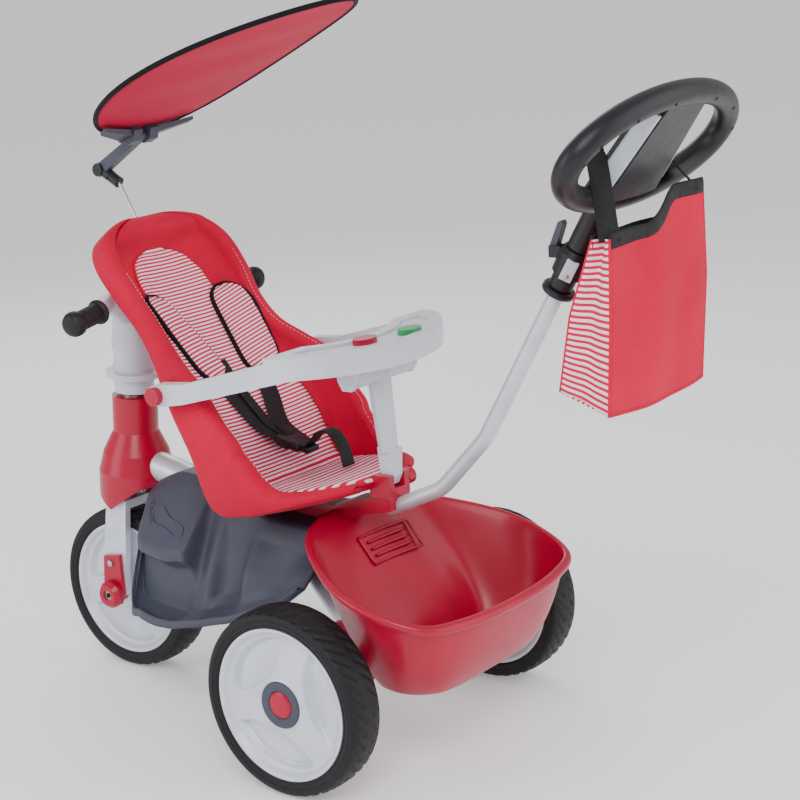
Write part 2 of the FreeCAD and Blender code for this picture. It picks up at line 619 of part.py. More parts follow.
bracket_outline = [(388, 787), (396, 792), (424, 780), (420, 770), (404, 766), (392, 772)]
bracket = slab(bracket_outline, -24, 24)
wing = ruled_loft([[Vector(392, 24, 788), Vector(418, 24, 777), Vector(416, 24, 771), Vector(392, 24, 780)],
                   [Vector(380, 84, 796), Vector(392, 84, 791), Vector(391, 84, 786), Vector(380, 84, 791)]])
bracket = bracket.fuse([wing, mirror(wing)])
bracket = bracket.cut(canopy_fabric).cut(hoop_half).cut(mirror(hoop_half))
clevis_slot = block(370, 440, -7.5, 7.5, 740, 800)
clevis_pin = cross_rod(CANOPY_SCREW.x, CANOPY_SCREW.z, -12, 12, CANOPY_PIN_R)
bracket = bracket.cut(clevis_slot).fuse(clevis_pin).removeSplitter()

arm_axis = unit(CANOPY_SCREW - CANOPY_ELBOW)
arm_side = Vector(-arm_axis.z, 0, arm_axis.x)


def arm_point(along, across):
    return CANOPY_ELBOW + arm_axis * along + arm_side * across


arm_length = (CANOPY_SCREW - CANOPY_ELBOW).Length
arm_points = [arm_point(0, -8), arm_point(arm_length, -6), arm_point(arm_length, 6), arm_point(0, 8)]
canopy_arm = polygon([p + Vector(0, -7, 0) for p in arm_points]).extrude(Vector(0, 14, 0))
canopy_arm = canopy_arm.fuse([cross_rod(CANOPY_SCREW.x, CANOPY_SCREW.z, -7, 7, 6),
                              cross_rod(CANOPY_ELBOW.x, CANOPY_ELBOW.z, -7, 7, 10)]).removeSplitter()
for pin in (CANOPY_SCREW, CANOPY_ELBOW):
    canopy_arm = canopy_arm.cut(cross_rod(pin.x, pin.z, -20, 20, CANOPY_PIN_R + RUN_GAP))

ferrule_axis = unit(CANOPY_ROD_TOP - CANOPY_ELBOW)
ferrule_end = CANOPY_ELBOW + ferrule_axis * 36
ferrule = rod(CANOPY_ELBOW + ferrule_axis * 14, ferrule_end, 8)
ears = []
for side in (-1, 1):
    ear = cross_rod(CANOPY_ELBOW.x, CANOPY_ELBOW.z, side * 7.4, side * 10.5, 9)
    arm = rod(CANOPY_ELBOW, CANOPY_ELBOW + ferrule_axis * 20, 9)
    arm = arm.common(block(400, 520, min(side * 7.4, side * 10.5), max(side * 7.4, side * 10.5), 690, 760))
    ears.append(ear)
    ears.append(arm)
ferrule = ferrule.fuse(ears + [cross_rod(CANOPY_ELBOW.x, CANOPY_ELBOW.z, -10.5, 10.5, CANOPY_PIN_R)])
ferrule = ferrule.cut(cross_rod(CANOPY_ELBOW.x, CANOPY_ELBOW.z, -7.4, 7.4, 10.4).cut(
    cross_rod(CANOPY_ELBOW.x, CANOPY_ELBOW.z, -7.4, 7.4, CANOPY_PIN_R))).removeSplitter()
lowered_arm = canopy_arm.copy()
lowered_arm.rotate(CANOPY_ELBOW, Vector(0, 1, 0), CANOPY_LOWEST)
ferrule = ferrule.cut(lowered_arm)
rod_foot = SEAT_CREASE + BACK_UP * 340 + BACK_OUT * -14
canopy_rod = bent_rod([rod_foot, SEAT_CREASE + BACK_UP * 400 + BACK_OUT * -1, CANOPY_ROD_TOP,
                       ferrule_end - ferrule_axis * 12], 14, 2.5)
ferrule = ferrule.cut(canopy_rod)
seat_cover = seat_cover.cut(canopy_rod)
seat_shell = seat_shell.cut(canopy_rod)

# ------------------------------------------------------------------ parent handle
POLE_UP = unit(POLE_POINTS[-1] - POLE_POINTS[-2])
POLE_END = POLE_POINTS[-1]
TILT = math.radians(RING_TILT)
RING_BACK = Vector(-math.cos(TILT), 0, math.sin(TILT))
RING_UP = Vector(math.sin(TILT), 0, math.cos(TILT))


def ring_point(back, side, lift):
    return RING_CENTRE + RING_BACK * back + Vector(0, side, 0) + RING_UP * lift


def on_pole(along):
    return POLE_END + POLE_UP * along


STEM_R = POLE_R - 1.4 - 0.3
handle_stem = rod(on_pole(-150), on_pole(44), STEM_R)
clamp = lathe([(POLE_R, -46), (13, -46), (15, -42), (15, -26), (19, -24), (20, 4), (17, 10),
               (STEM_R + 0.3, 10), (STEM_R + 0.3, 0), (POLE_R, 0)], POLE_END, POLE_UP)
lever_foot = on_pole(-8) + Vector(POLE_UP.z, 0, -POLE_UP.x) * 27
clamp_ears = [block(lever_foot.x - 13, lever_foot.x + 3, side * 8 - 2, side * 8 + 2, lever_foot.z - 8,
                    lever_foot.z + 6) for side in (-1, 1)]
clamp = clamp.fuse(clamp_ears).cut(lathe([(0, -60), (POLE_R, -60), (POLE_R, 0), (STEM_R + 0.3, 0),
                                          (STEM_R + 0.3, 30), (0, 30)], POLE_END, POLE_UP))
clamp = clamp.fuse(cross_rod(lever_foot.x, lever_foot.z, -10, 10, 2)).removeSplitter()
POLE_SIDE = Vector(POLE_UP.z, 0, -POLE_UP.x)
lever_outline = [(-6, -3), (-3, -6), (3, -6), (6, -2), (34, 3), (37, 7), (33, 10), (0, 6), (-4, 5)]
lever_points = [lever_foot + POLE_UP * a + POLE_SIDE * b + Vector(0, -5.5, 0) for a, b in lever_outline]
lever_face = polygon(lever_points)
handle_lever = lever_face.extrude(Vector(0, 11, 0))
handle_lever = handle_lever.cut(cross_rod(lever_foot.x, lever_foot.z, -20, 20, 2 + RUN_GAP))

ring_side = ring_point(0, RING_HALF_W, 0)
ring_ellipse = Part.Ellipse(ring_side, ring_point(RING_HALF_L, 0, 0), RING_CENTRE)
ring_halves = [Part.ArcOfEllipse(ring_ellipse, 0, math.pi).toShape(),
               Part.ArcOfEllipse(ring_ellipse, math.pi, 2 * math.pi).toShape()]
ring_circle = Part.Wire(Part.makeCircle(RING_TUBE_R, ring_side, RING_BACK))
handle_ring = Part.Wire(ring_halves).makePipeShell([ring_circle], True, True)
handle_ring = handle_ring.fuse(rod(on_pole(12), on_pole(94), 15)).cut(handle_stem)


def ring_plate(outline, low, high):
    face = polygon([ring_point(back, side, low) for back, side in outline])
    return face.extrude(RING_UP * (high - low))


# Hub plate across the ring with a wider lid, and a silver panel along each of its sides.
hub_core = ring_plate([(66, 42), (66, -42), (-66, -58), (-66, 58)], -13, 9)
hub_lid = ring_plate([(66, 52), (66, -52), (-66, -68), (-66, 68)], 9, 13)
handle_hub = hub_core.fuse(hub_lid).cut(handle_ring).removeSplitter()
side_panel = ring_plate([(54, 40), (54, 50), (-46, 62), (-46, 50)], -11, 8.9).cut(hub_core).cut(handle_ring)
handle_insert = Part.makeCompound([side_panel, mirror(side_panel)])

# Bag: an open-topped fabric bag hung under the ring.
BAG_WALL = 3.0
BAG_LEVELS = [(494, -392, 108, 516, -329), (600, -398, 110, 604, -346), (690, -397, 106, 686, -374)]


def bag_outline(inset, floor_lift):
    sections = []
    for rear_z, rear_x, half, front_z, front_x in BAG_LEVELS:
        lift = floor_lift if rear_z == BAG_LEVELS[0][0] else (1.0 if rear_z == BAG_LEVELS[-1][0] else 0.0)
        lift = 0.0 if inset == 0 else lift
        rear = [Vector(rear_x + inset, side * (half - inset), rear_z + lift) for side in (-1, 1)]
        front = [Vector(front_x - inset, side * (half - inset), front_z + lift) for side in (1, -1)]
        sections.append(rear + front)
    return ruled_loft(sections)


bag = bag_outline(0, 0).cut(bag_outline(BAG_WALL, BAG_WALL))

# ------------------------------------------------------------------ fasteners
frame_screws = []
for side in (-1, 1):
    frame_screws.append(cross_rod(200, 284, side * 46, side * 48.5, 5))
    frame_screws.append(cross_rod(2, 152, side * 108, side * 110.5, 6))

footrest = footrest.cut(frame_screws[0]).cut(frame_screws[2])

save("head_tube", head_tube)
save("steering_bushes", Part.makeCompound(bushes))
save("main_tube", main_tube)
save("rear_stay_left", stay_left)
save("rear_stay_right", mirror(stay_left))
save("head_covers", Part.makeCompound([cover_left, cover_right]))
save("footrest", footrest)
save("axle_housing", housing)
save("rear_axle", rear_axle)
save("axle_nuts", Part.makeCompound(axle_nuts))
save("basket", basket)
save("pole_socket", pole_socket)
save("seat_bracket", seat_bracket)
save("push_pole", pole)
save("frame_screws", Part.makeCompound(frame_screws))
save("fork", fork)
save("steering_tube", steering_tube)
save("neck", neck)
save("handlebar", handlebar)
save("grip_left", grip_left)
save("grip_right", mirror(grip_left))
save("fork_end_left", fork_end)
save("fork_end_right", mirror(fork_end))
save("fork_screws", Part.makeCompound([fork_screw, mirror(fork_screw)]))
save("seat_shell", seat_shell)
save("seat_lug", seat_lug)
save("seat_cover", seat_cover)
save("seat_pad", seat_pad)
save("shoulder_pads", Part.makeCompound(shoulder_pads))
save("harness", Part.makeCompound(harness))
save("buckle", buckle)
save("tray_knobs", Part.makeCompound([knob, mirror(knob)]))
save("canopy_rod", canopy_rod)
save("canopy_ferrule", ferrule)
save("tray", tray)
save("tray_strut", strut)
save("canopy_arm", canopy_arm)
save("canopy_bracket", bracket)
save("canopy_fabric", canopy_fabric)
save("canopy_hoop", canopy_hoop)
save("handle_stem", handle_stem)
save("handle_clamp", clamp)
save("handle_lever", handle_lever)
save("handle_ring", handle_ring)
save("handle_hub", handle_hub)
save("handle_insert", handle_insert)
save("bag", bag)
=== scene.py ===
import json
import math
from collections import namedtuple

import bmesh
import bpy
import numpy as np
from mathutils import Matrix, Vector


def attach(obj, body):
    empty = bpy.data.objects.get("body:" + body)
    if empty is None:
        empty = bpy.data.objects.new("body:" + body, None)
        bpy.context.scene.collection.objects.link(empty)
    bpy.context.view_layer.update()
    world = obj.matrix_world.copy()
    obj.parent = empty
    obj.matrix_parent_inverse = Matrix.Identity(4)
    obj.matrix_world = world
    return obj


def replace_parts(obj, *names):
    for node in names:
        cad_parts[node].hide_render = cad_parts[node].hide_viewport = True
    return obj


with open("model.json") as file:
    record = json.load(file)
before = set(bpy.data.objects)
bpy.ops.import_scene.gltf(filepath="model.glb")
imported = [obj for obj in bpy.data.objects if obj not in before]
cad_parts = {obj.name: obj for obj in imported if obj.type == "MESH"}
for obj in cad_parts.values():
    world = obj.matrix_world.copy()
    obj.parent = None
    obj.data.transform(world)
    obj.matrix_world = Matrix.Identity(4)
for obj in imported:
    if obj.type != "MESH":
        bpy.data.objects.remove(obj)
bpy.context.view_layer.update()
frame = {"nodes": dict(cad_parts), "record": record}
nodes = frame["nodes"]


# ------------------------------------------------------------------ places and sizes, in metres
ORIGIN_X = 0.07854          # how far the row frame's origin lies ahead of the rear axle
STRIPE_PERIOD = 0.0054      # red and white stripes of the seat fabric
SEAT_RECLINE = math.radians(36.6)
BACK_UP = Vector((math.sin(SEAT_RECLINE), 0, math.cos(SEAT_RECLINE)))
BACK_OUT = Vector((-math.cos(SEAT_RECLINE), 0, math.sin(SEAT_RECLINE)))
SIDES = ((1, "left"), (-1, "right"))
MATERIALS = {}


def at(x, y, z):
    """A point given in millimetres from the middle of the rear axle, on the ground."""
    return Vector((x / 1000 - ORIGIN_X, y / 1000, z / 1000))


def on_back(s, y, lift):
    """A point on the backrest, in millimetres: s up from the crease, y to the left, lift off it."""
    return at(177, 0, 330) + BACK_UP * (s / 1000) + Vector((0, y / 1000, 0)) + BACK_OUT * (lift / 1000)


# ------------------------------------------------------------------ camera and light
def rotated_frame(azimuth, elevation, roll):
    az, el, ro = math.radians(azimuth), math.radians(elevation), math.radians(roll)
    back = Vector((math.cos(az) * math.cos(el), math.sin(az) * math.cos(el), math.sin(el)))
    right = Vector((0, 0, 1)).cross(back).normalized()
    up = back.cross(right)
    turned_right = right * math.cos(ro) + up * math.sin(ro)
    turned_up = up * math.cos(ro) - right * math.sin(ro)
    return Matrix((turned_right, turned_up, back)).transposed()


def add_camera():
    data = bpy.data.cameras.new("camera")
    data.lens = 84.94
    data.sensor_width = 36
    camera = bpy.data.objects.new("camera", data)
    bpy.context.scene.collection.objects.link(camera)
    turn = rotated_frame(127.46, 13.62, -3.0).to_4x4()
    camera.matrix_world = Matrix.Translation(at(-1438, 1851, 1015)) @ turn
    bpy.context.scene.camera = camera


def add_light(name, place, target, size, power):
    data = bpy.data.lights.new(name, "AREA")
    data.energy = power
    data.size = size
    light = bpy.data.objects.new(name, data)
    bpy.context.scene.collection.objects.link(light)
    light.location = place
    light.rotation_euler = (Vector(target) - Vector(place)).to_track_quat("-Z", "Y").to_euler()


def add_lights():
    add_light("key", (-1.6, 2.2, 2.6), (0, 0, 0.4), 1.8, 74)
    add_light("fill", (-2.4, -1.2, 1.4), (0, 0, 0.5), 2.4, 30)
    add_light("front", (1.6, 2.4, 1.2), (0.1, 0, 0.4), 1.6, 30)
    add_light("rim", (2.2, -1.8, 2.2), (0, 0, 0.5), 1.6, 26)
    world = bpy.data.worlds.new("studio")
    bpy.context.scene.world = world
    world.use_nodes = True
    world.node_tree.nodes["Background"].inputs[0].default_value = (1.0, 1.0, 1.0, 1)
    world.node_tree.nodes["Background"].inputs[1].default_value = 0.62


def add_floor():
    mesh = bpy.data.meshes.new("floor")
    half = 40.0
    corners = [(-half, -half, 0), (half, -half, 0), (half, half, 0), (-half, half, 0)]
    mesh.from_pydata(corners, [], [(0, 1, 2, 3)])
    floor = bpy.data.objects.new("floor", mesh)
    bpy.context.scene.collection.objects.link(floor)
    floor.location.z = -0.0005
    tree, shader = new_material("floor_paper")
    set_inputs(tree, shader, {"Base Color": (0.95, 0.95, 0.95, 1), "Emission Color": (1, 1, 1, 1),
                              "Emission Strength": 0.25, "Roughness": 0.85})
    add_bump(tree, shader, noise_value(tree, 60, 3), 0.02, 0.001)
    mesh.materials.append(MATERIALS["floor_paper"])


# ------------------------------------------------------------------ materials
def srgb(red, green, blue):
    """A colour on the 0 to 255 scale as linear values."""
    out = []
    for value in (red, green, blue):
        c = value / 255
        out.append(c / 12.92 if c <= 0.04045 else ((c + 0.055) / 1.055) ** 2.4)
    return (*out, 1.0)


def new_material(name):
    """A material kept under its name; gives its node tree and its shader."""
    material = bpy.data.materials.new(name)
    material.use_nodes = True
    MATERIALS[name] = material
    return material.node_tree, material.node_tree.nodes["Principled BSDF"]


def set_inputs(tree, shader, values):
    """Sets shader inputs by name: a number or colour on the socket itself, anything else as a link."""
    for name, value in values.items():
        if isinstance(value, (int, float, tuple)):
            shader.inputs[name].default_value = value
        else:
            tree.links.new(value, shader.inputs[name])


def scaled(colour, factor, lift=0.0):
    """A darker or paler version of a colour."""
    return tuple(min(1, c * factor + lift) for c in colour[:3]) + (1,)


def object_coords(tree):
    return tree.nodes.new("ShaderNodeTexCoord").outputs["Object"]


def noise_value(tree, scale, detail, vector=None, distortion=0.0):
    node = tree.nodes.new("ShaderNodeTexNoise")
    node.inputs["Scale"].default_value = scale
    node.inputs["Detail"].default_value = detail
    node.inputs["Distortion"].default_value = distortion
    tree.links.new(vector or object_coords(tree), node.inputs["Vector"])
    return node.outputs["Fac"]


def math_node(tree, operation, first, second=None):
    node = tree.nodes.new("ShaderNodeMath")
    node.operation = operation
    for socket, value in zip(node.inputs, (first, second)):
        if value is None:
            continue
        if isinstance(value, (int, float)):
            socket.default_value = value
        else:
            tree.links.new(value, socket)
    return node.outputs[0]


def ramp(tree, value, low, high, start=0.3, end=0.7):
    node = tree.nodes.new("ShaderNodeMapRange")
    node.inputs["From Min"].default_value = start
    node.inputs["From Max"].default_value = end
    node.inputs["To Min"].default_value = low
    node.inputs["To Max"].default_value = high
    tree.links.new(value, node.inputs["Value"])
    return node.outputs["Result"]


def mix_colour(tree, factor, first, second):
    node = tree.nodes.new("ShaderNodeMix")
    node.data_type = "RGBA"
    tree.links.new(factor, node.inputs[0])
    for socket, value in ((node.inputs[6], first), (node.inputs[7], second)):
        if isinstance(value, tuple):
            socket.default_value = value
        else:
            tree.links.new(value, socket)
    return node.outputs[2]


def add_bump(tree, shader, height, strength, distance):
    node = tree.nodes.new("ShaderNodeBump")
    node.inputs["Strength"].default_value = strength
    node.inputs["Distance"].default_value = distance
    tree.links.new(height, node.inputs["Height"])
    tree.links.new(node.outputs["Normal"], shader.inputs["Normal"])


def edge_highlight_mask(tree, amount):
    """Near 1 on sharp outer edges, broken up by noise: where a painted highlight goes."""
    edges = tree.nodes.new("ShaderNodeNewGeometry").outputs["Pointiness"]
    sharp = ramp(tree, edges, 0, amount, 0.54, 0.66)
    return math_node(tree, "MULTIPLY", sharp, noise_value(tree, 90, 4))


def moulded(name, colour, roughness=0.4, grain=0.12, grain_scale=900, highlight=0.35, coat=0.0):
    """Injection-moulded plastic: fine grain, slight mottling, and a painted highlight that makes sharp edges
    paler.
    """
    tree, shader = new_material(name)
    base = mix_colour(tree, ramp(tree, noise_value(tree, 14, 5), 0, 1), scaled(colour, 0.86), colour)
    # painted highlight: sharp outer edges mixed towards a paler colour
    base = mix_colour(tree, edge_highlight_mask(tree, highlight), base, scaled(colour, 1.25, 0.010))
    scuff = noise_value(tree, 55, 6, distortion=0.4)
    set_inputs(tree, shader, {"Base Color": base, "Specular IOR Level": 0.34, "Coat Weight": coat,
                              "Roughness": ramp(tree, scuff, roughness - 0.03, roughness + 0.04),
                              "Coat Roughness": 0.12})
    add_bump(tree, shader, noise_value(tree, grain_scale, 2), grain, 0.0004)


def metal(name, colour, roughness, metallic, brushed):
    """Painted or bare metal; brushed streaks run along Z."""
    tree, shader = new_material(name)
    stretch = tree.nodes.new("ShaderNodeMapping")
    stretch.inputs["Scale"].default_value = (1, 1, 14) if brushed else (1, 1, 1)
    tree.links.new(object_coords(tree), stretch.inputs["Vector"])
    streaks = noise_value(tree, 260 if brushed else 1400, 4, stretch.outputs["Vector"])
    base = mix_colour(tree, ramp(tree, noise_value(tree, 25, 4), 0, 1), scaled(colour, 0.85), colour)
    set_inputs(tree, shader, {"Base Color": base, "Metallic": metallic,
                              "Roughness": ramp(tree, streaks, roughness - 0.06, roughness + 0.1)})
    add_bump(tree, shader, streaks, 0.05, 0.0003)


def weave_height(tree, vector, threads):
    """Warp over weft: height of a plain weave with so many threads in a metre."""
    split = tree.nodes.new("ShaderNodeSeparateXYZ")
    tree.links.new(vector, split.inputs[0])
    waves = []
    for axis in (0, 1, 2):
        turned = math_node(tree, "MULTIPLY", split.outputs[axis], threads * 2 * math.pi)
        waves.append(math_node(tree, "SINE", turned))
    first = math_node(tree, "MULTIPLY", waves[0], waves[1])
    second = math_node(tree, "MULTIPLY", waves[1], waves[2])
    return math_node(tree, "ADD", first, second)


def fabric(name, colour, roughness=0.85, threads=420, sheen=0.04, folds=0.25):
    """Plain woven polyester: thread relief, soft creases and uneven dye."""
    tree, shader = new_material(name)
    threads_up = weave_height(tree, object_coords(tree), threads)
    base = mix_colour(tree, ramp(tree, noise_value(tree, 9, 5), 0, 1), scaled(colour, 0.80), colour)
    melange = noise_value(tree, 700, 3)
    base = mix_colour(tree, ramp(tree, melange, 0, 0.55, 0.45, 0.75), base, scaled(colour, 1.18, 0.006))
    set_inputs(tree, shader, {"Base Color": base, "Sheen Weight": sheen, "Sheen Roughness": 0.45,
                              "Roughness": ramp(tree, melange, roughness - 0.08, roughness + 0.06),
                              "Specular IOR Level": 0.16})
    creases = noise_value(tree, 26, 4, distortion=1.2)
    height = math_node(tree, "ADD", math_node(tree, "MULTIPLY", threads_up, 0.10),
                       math_node(tree, "MULTIPLY", creases, folds * 10))
    add_bump(tree, shader, height, 0.5, 0.0009)


def texture_axes(tree):
    """The two texture coordinates of a mesh, in metres: across and along."""
    split = tree.nodes.new("ShaderNodeSeparateXYZ")
    tree.links.new(tree.nodes.new("ShaderNodeUVMap").outputs["UV"], split.inputs[0])
    return split.outputs[0], split.outputs[1]


def striped(name, red, white, period):
    """Woven stripes that run along the first texture direction and repeat along the second."""
    tree, shader = new_material(name)
    wobble = math_node(tree, "MULTIPLY", noise_value(tree, 30, 2), 0.0016)
    along = math_node(tree, "ADD", texture_axes(tree)[1], wobble)
    wave = math_node(tree, "SINE", math_node(tree, "MULTIPLY", along, 2 * math.pi / period))
    base = mix_colour(tree, ramp(tree, wave, 0, 1, -0.25, 0.25), red, white)
    melange = noise_value(tree, 900, 2)
    base = mix_colour(tree, ramp(tree, melange, 0, 0.30, 0.45, 0.75), base, red)
    set_inputs(tree, shader, {"Base Color": base, "Roughness": ramp(tree, melange, 0.78, 0.92),
                              "Specular IOR Level": 0.2})
    threads_up = weave_height(tree, object_coords(tree), 420)
    height = math_node(tree, "ADD", math_node(tree, "MULTIPLY", wave, 0.35),
                       math_node(tree, "MULTIPLY", threads_up, 0.12))
    add_bump(tree, shader, height, 0.6, 0.0008)


def webbing(name, colour):
    """Narrow woven strap: diagonal ribs, worn and slightly shiny."""
    tree, shader = new_material(name)
    waves = [math_node(tree, "SINE", math_node(tree, "MULTIPLY", axis, 2 * math.pi / pitch))
             for axis, pitch in zip(texture_axes(tree), (0.0022, 0.0030))]
    ribs = math_node(tree, "MULTIPLY", *waves)
    base = mix_colour(tree, ramp(tree, ribs, 0, 0.5, -0.6, 0.9), colour, scaled(colour, 2.2, 0.01))
    set_inputs(tree, shader, {"Base Color": base, "Specular IOR Level": 0.3,
                              "Roughness": ramp(tree, noise_value(tree, 120, 3), 0.5, 0.7)})
    add_bump(tree, shader, ribs, 0.5, 0.0005)


RED_PLASTIC = srgb(176, 0, 50)
RED_FABRIC = srgb(202, 0, 56)
PALE = srgb(244, 228, 236)


def make_materials():
    metal("silver_paint", srgb(214, 218, 228), 0.34, 0.45, False)
    metal("steel", srgb(190, 190, 192), 0.28, 0.95, True)
    moulded("silver_plastic", srgb(206, 212, 222), 0.36, 0.10, 1100)
    metal("wheel_plastic", srgb(214, 218, 230), 0.42, 0.22, False)
    moulded("tyre_plastic", srgb(15, 16, 20), 0.58, 0.35, 600, 0.2)
    moulded("red_plastic", RED_PLASTIC, 0.32, 0.02, 1200, 0.0, 0.08)
    moulded("green_plastic", srgb(20, 150, 84), 0.3, 0.06, 1000, 0.2, 0.2)
    moulded("grey_plastic", srgb(66, 69, 84), 0.50, 0.30, 650)
    moulded("black_plastic", srgb(28, 28, 33), 0.38, 0.20, 800)
    moulded("grip_rubber", srgb(24, 24, 28), 0.55, 0.35, 900)
    fabric("red_fabric", RED_FABRIC)
    fabric("canopy_cloth", srgb(194, 0, 62), 0.7, 520, 0.03, 0.15)
    fabric("bag_cloth", srgb(214, 0, 58), 0.8, 420, 0.04, 0.3)
    fabric("black_cloth", srgb(18, 18, 22), 0.8, 500, 0.04, 0.2)
    fabric("thread", srgb(236, 150, 165), 0.8, 900, 0.04, 0.1)
    striped("striped_fabric", srgb(206, 4, 72), PALE, STRIPE_PERIOD)
    striped("gusset_stripes", srgb(206, 4, 66), PALE, 0.0072)
    webbing("webbing", srgb(18, 18, 21))


def paint_frame():
    """Gives every CAD node the material of its slot in the record."""
    for part in frame["record"]["subparts"]:
        node = nodes[part["node"]]
        node.data.materials.clear()
        node.data.materials.append(MATERIALS[part["material_slot"]])


# ------------------------------------------------------------------ mesh helpers
def add_mesh(name, verts, faces, material, body, slot=None, uvs=None, smooth=True):
    """A piece that rides on a body. uvs holds one pair for every vertex, in metres.

    The slot is not used."""
    mesh = bpy.data.meshes.new(name)
    mesh.from_pydata([tuple(v) for v in verts], [], faces)
    if uvs is not None:
        layer = mesh.uv_layers.new(name="UVMap")
        for loop in mesh.loops:
            layer.data[loop.index].uv = uvs[loop.vertex_index]
    mesh.materials.append(MATERIALS[material])
    surface = bmesh.new()
    surface.from_mesh(mesh)
    bmesh.ops.recalc_face_normals(surface, faces=surface.faces)
    surface.to_mesh(mesh)
    surface.free()
    if smooth:
        mesh.shade_smooth()
    piece = bpy.data.objects.new(name, mesh)
    bpy.context.scene.collection.objects.link(piece)
    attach(piece, body)
    slot or material
    return piece


def smooth_step(value):
    value = min(1.0, max(0.0, value))
    return value * value * (3 - 2 * value)


def skin_loops(loops, closed_along=False):
    """Faces between loops that all have as many points. Each loop is closed."""
    count, rows = len(loops[0]), len(loops)
    faces = []
    for i in range(rows if closed_along else rows - 1):
        a, b = i * count, ((i + 1) % rows) * count
        for j in range(count):
            k = (j + 1) % count
            faces.append((a + j, a + k, b + k, b + j))
    if not closed_along:
        faces.append(tuple(range(count))[::-1])
        faces.append(tuple((rows - 1) * count + j for j in range(count)))
    return faces


def add_loops(name, loops, material, body, slot=None, uvs=None, closed_along=False):
    """A piece skinned over loops of points."""
    faces = skin_loops(loops, closed_along)
    return add_mesh(name, [v for ring in loops for v in ring], faces, material, body, slot, uvs)


def two_layer_faces(rows, cols):
    """Faces of two stacked grids of points, closed around their border."""
    block = rows * cols
    faces = []
    for i in range(rows - 1):
        for j in range(cols - 1):
            a = i * cols + j
            faces.append((a, a + 1, a + cols + 1, a + cols))
            faces.append((block + a + cols, block + a + cols + 1, block + a + 1, block + a))
    border = [i * cols for i in range(rows)] + [(rows - 1) * cols + j for j in range(1, cols)]
    border += [i * cols + cols - 1 for i in range(rows - 2, -1, -1)] + list(range(cols - 2, 0, -1))
    for a, b in zip(border, border[1:] + border[:1]):
        faces.append((a, b, block + b, block + a))
    return faces


def point_grid(rows, cols, place):
    """Points at even shares down and across, both from 0 to 1."""
    return [[place(i / rows, j / cols) for j in range(cols + 1)] for i in range(rows + 1)]


def smooth_path(points, steps, closed=False):
    """Points on a smooth curve through the given ones (Catmull-Rom)."""
    points = [np.array(p, float) for p in points]
    n = len(points)
    out = []
    spans = n if closed else n - 1
    for i in range(spans):
        p1, p2 = points[i], points[(i + 1) % n]
        p0 = points[(i - 1) % n] if closed or i > 0 else 2 * p1 - p2
        p3 = points[(i + 2) % n] if closed or i + 2 < n else 2 * p2 - p1
        for k in range(steps):
            t = k / steps
            out.append(0.5 * (2 * p1 + (p2 - p0) * t + (2 * p0 - 5 * p1 + 4 * p2 - p3) * t ** 2
                              + (3 * p1 - p0 - 3 * p2 + p3) * t ** 3))
    if not closed:
        out.append(points[-1])
    return out


def tube(name, path, radius, material, body, slot=None, closed=False, sides=10):
    """A round cord along a path."""
    path = [Vector(p) for p in path]
    count = len(path)
    loops, uvs, travelled = [], [], 0.0
    across = None
    for i, point in enumerate(path):
        before = path[(i - 1) % count] if closed or i > 0 else point
        after = path[(i + 1) % count] if closed or i + 1 < count else point
        forward = (after - before).normalized()
        if across is None:
            across = forward.orthogonal().normalized()
        across = (across - forward * across.dot(forward)).normalized()
        other = forward.cross(across)
        travelled += (point - before).length
        ring = []
        for k in range(sides):
            angle = 2 * math.pi * k / sides
            ring.append(point + across * (radius * math.cos(angle)) + other * (radius * math.sin(angle)))
            uvs.append((radius * angle, travelled))
        loops.append(ring)
    return add_loops(name, loops, material, body, slot, uvs, closed)


def ribbon(name, path, facing, width, thick, material, body, slot=None):
    """A flat strap with rounded edges. facing is the strap's outward direction at each point."""
    path = [Vector(p) for p in path]
    half = width / 2
    outline = [(-half, -0.25), (-half + 0.0008, -0.5), (half - 0.0008, -0.5), (half, -0.25), (half, 0.25),
               (half - 0.0008, 0.5), (-half + 0.0008, 0.5), (-half, 0.25)]
    loops, uvs, travelled = [], [], 0.0
    for i, point in enumerate(path):
        before = path[max(i - 1, 0)]
        after = path[min(i + 1, len(path) - 1)]
        forward = (after - before).normalized()
        out = Vector(facing[i])
        out = (out - forward * out.dot(forward)).normalized()
        across = forward.cross(out)
        travelled += (point - before).length
        loops.append([point + across * a + out * (b * thick) for a, b in outline])
        uvs.extend((a, travelled) for a, b in outline)
    return add_loops(name, loops, material, body, slot, uvs)


def turned(name, profile, base, axis, material, body, slot=None, steps=64):
    """A turned piece: (radius, height) pairs spun about an axis through base."""
    axis = Vector(axis).normalized()
    across = axis.orthogonal().normalized()
    other = axis.cross(across)
    turns = [2 * math.pi * k / steps for k in range(steps)]
    loops = []
    for radius, height in profile:
        loops.append([Vector(base) + axis * height
                      + (across * math.cos(turn) + other * math.sin(turn)) * radius for turn in turns])
    return add_loops(name, loops, material, body, slot)


# ------------------------------------------------------------------ seat cover
# Seat stations from the nose to the head, in millimetres: place (x, z), outward direction (x, z),
# half width, rim height, depth behind the surface, height of the widest point.
PAN_UP = (0.0, 1.0)
BACK_FACE = (BACK_OUT.x, BACK_OUT.z)
CREASE_FACE = tuple(Vector((BACK_OUT.x, BACK_OUT.z + 1)).normalized())


def back_place(s):
    return (177 + math.sin(SEAT_RECLINE) * s, 330 + math.cos(SEAT_RECLINE) * s)


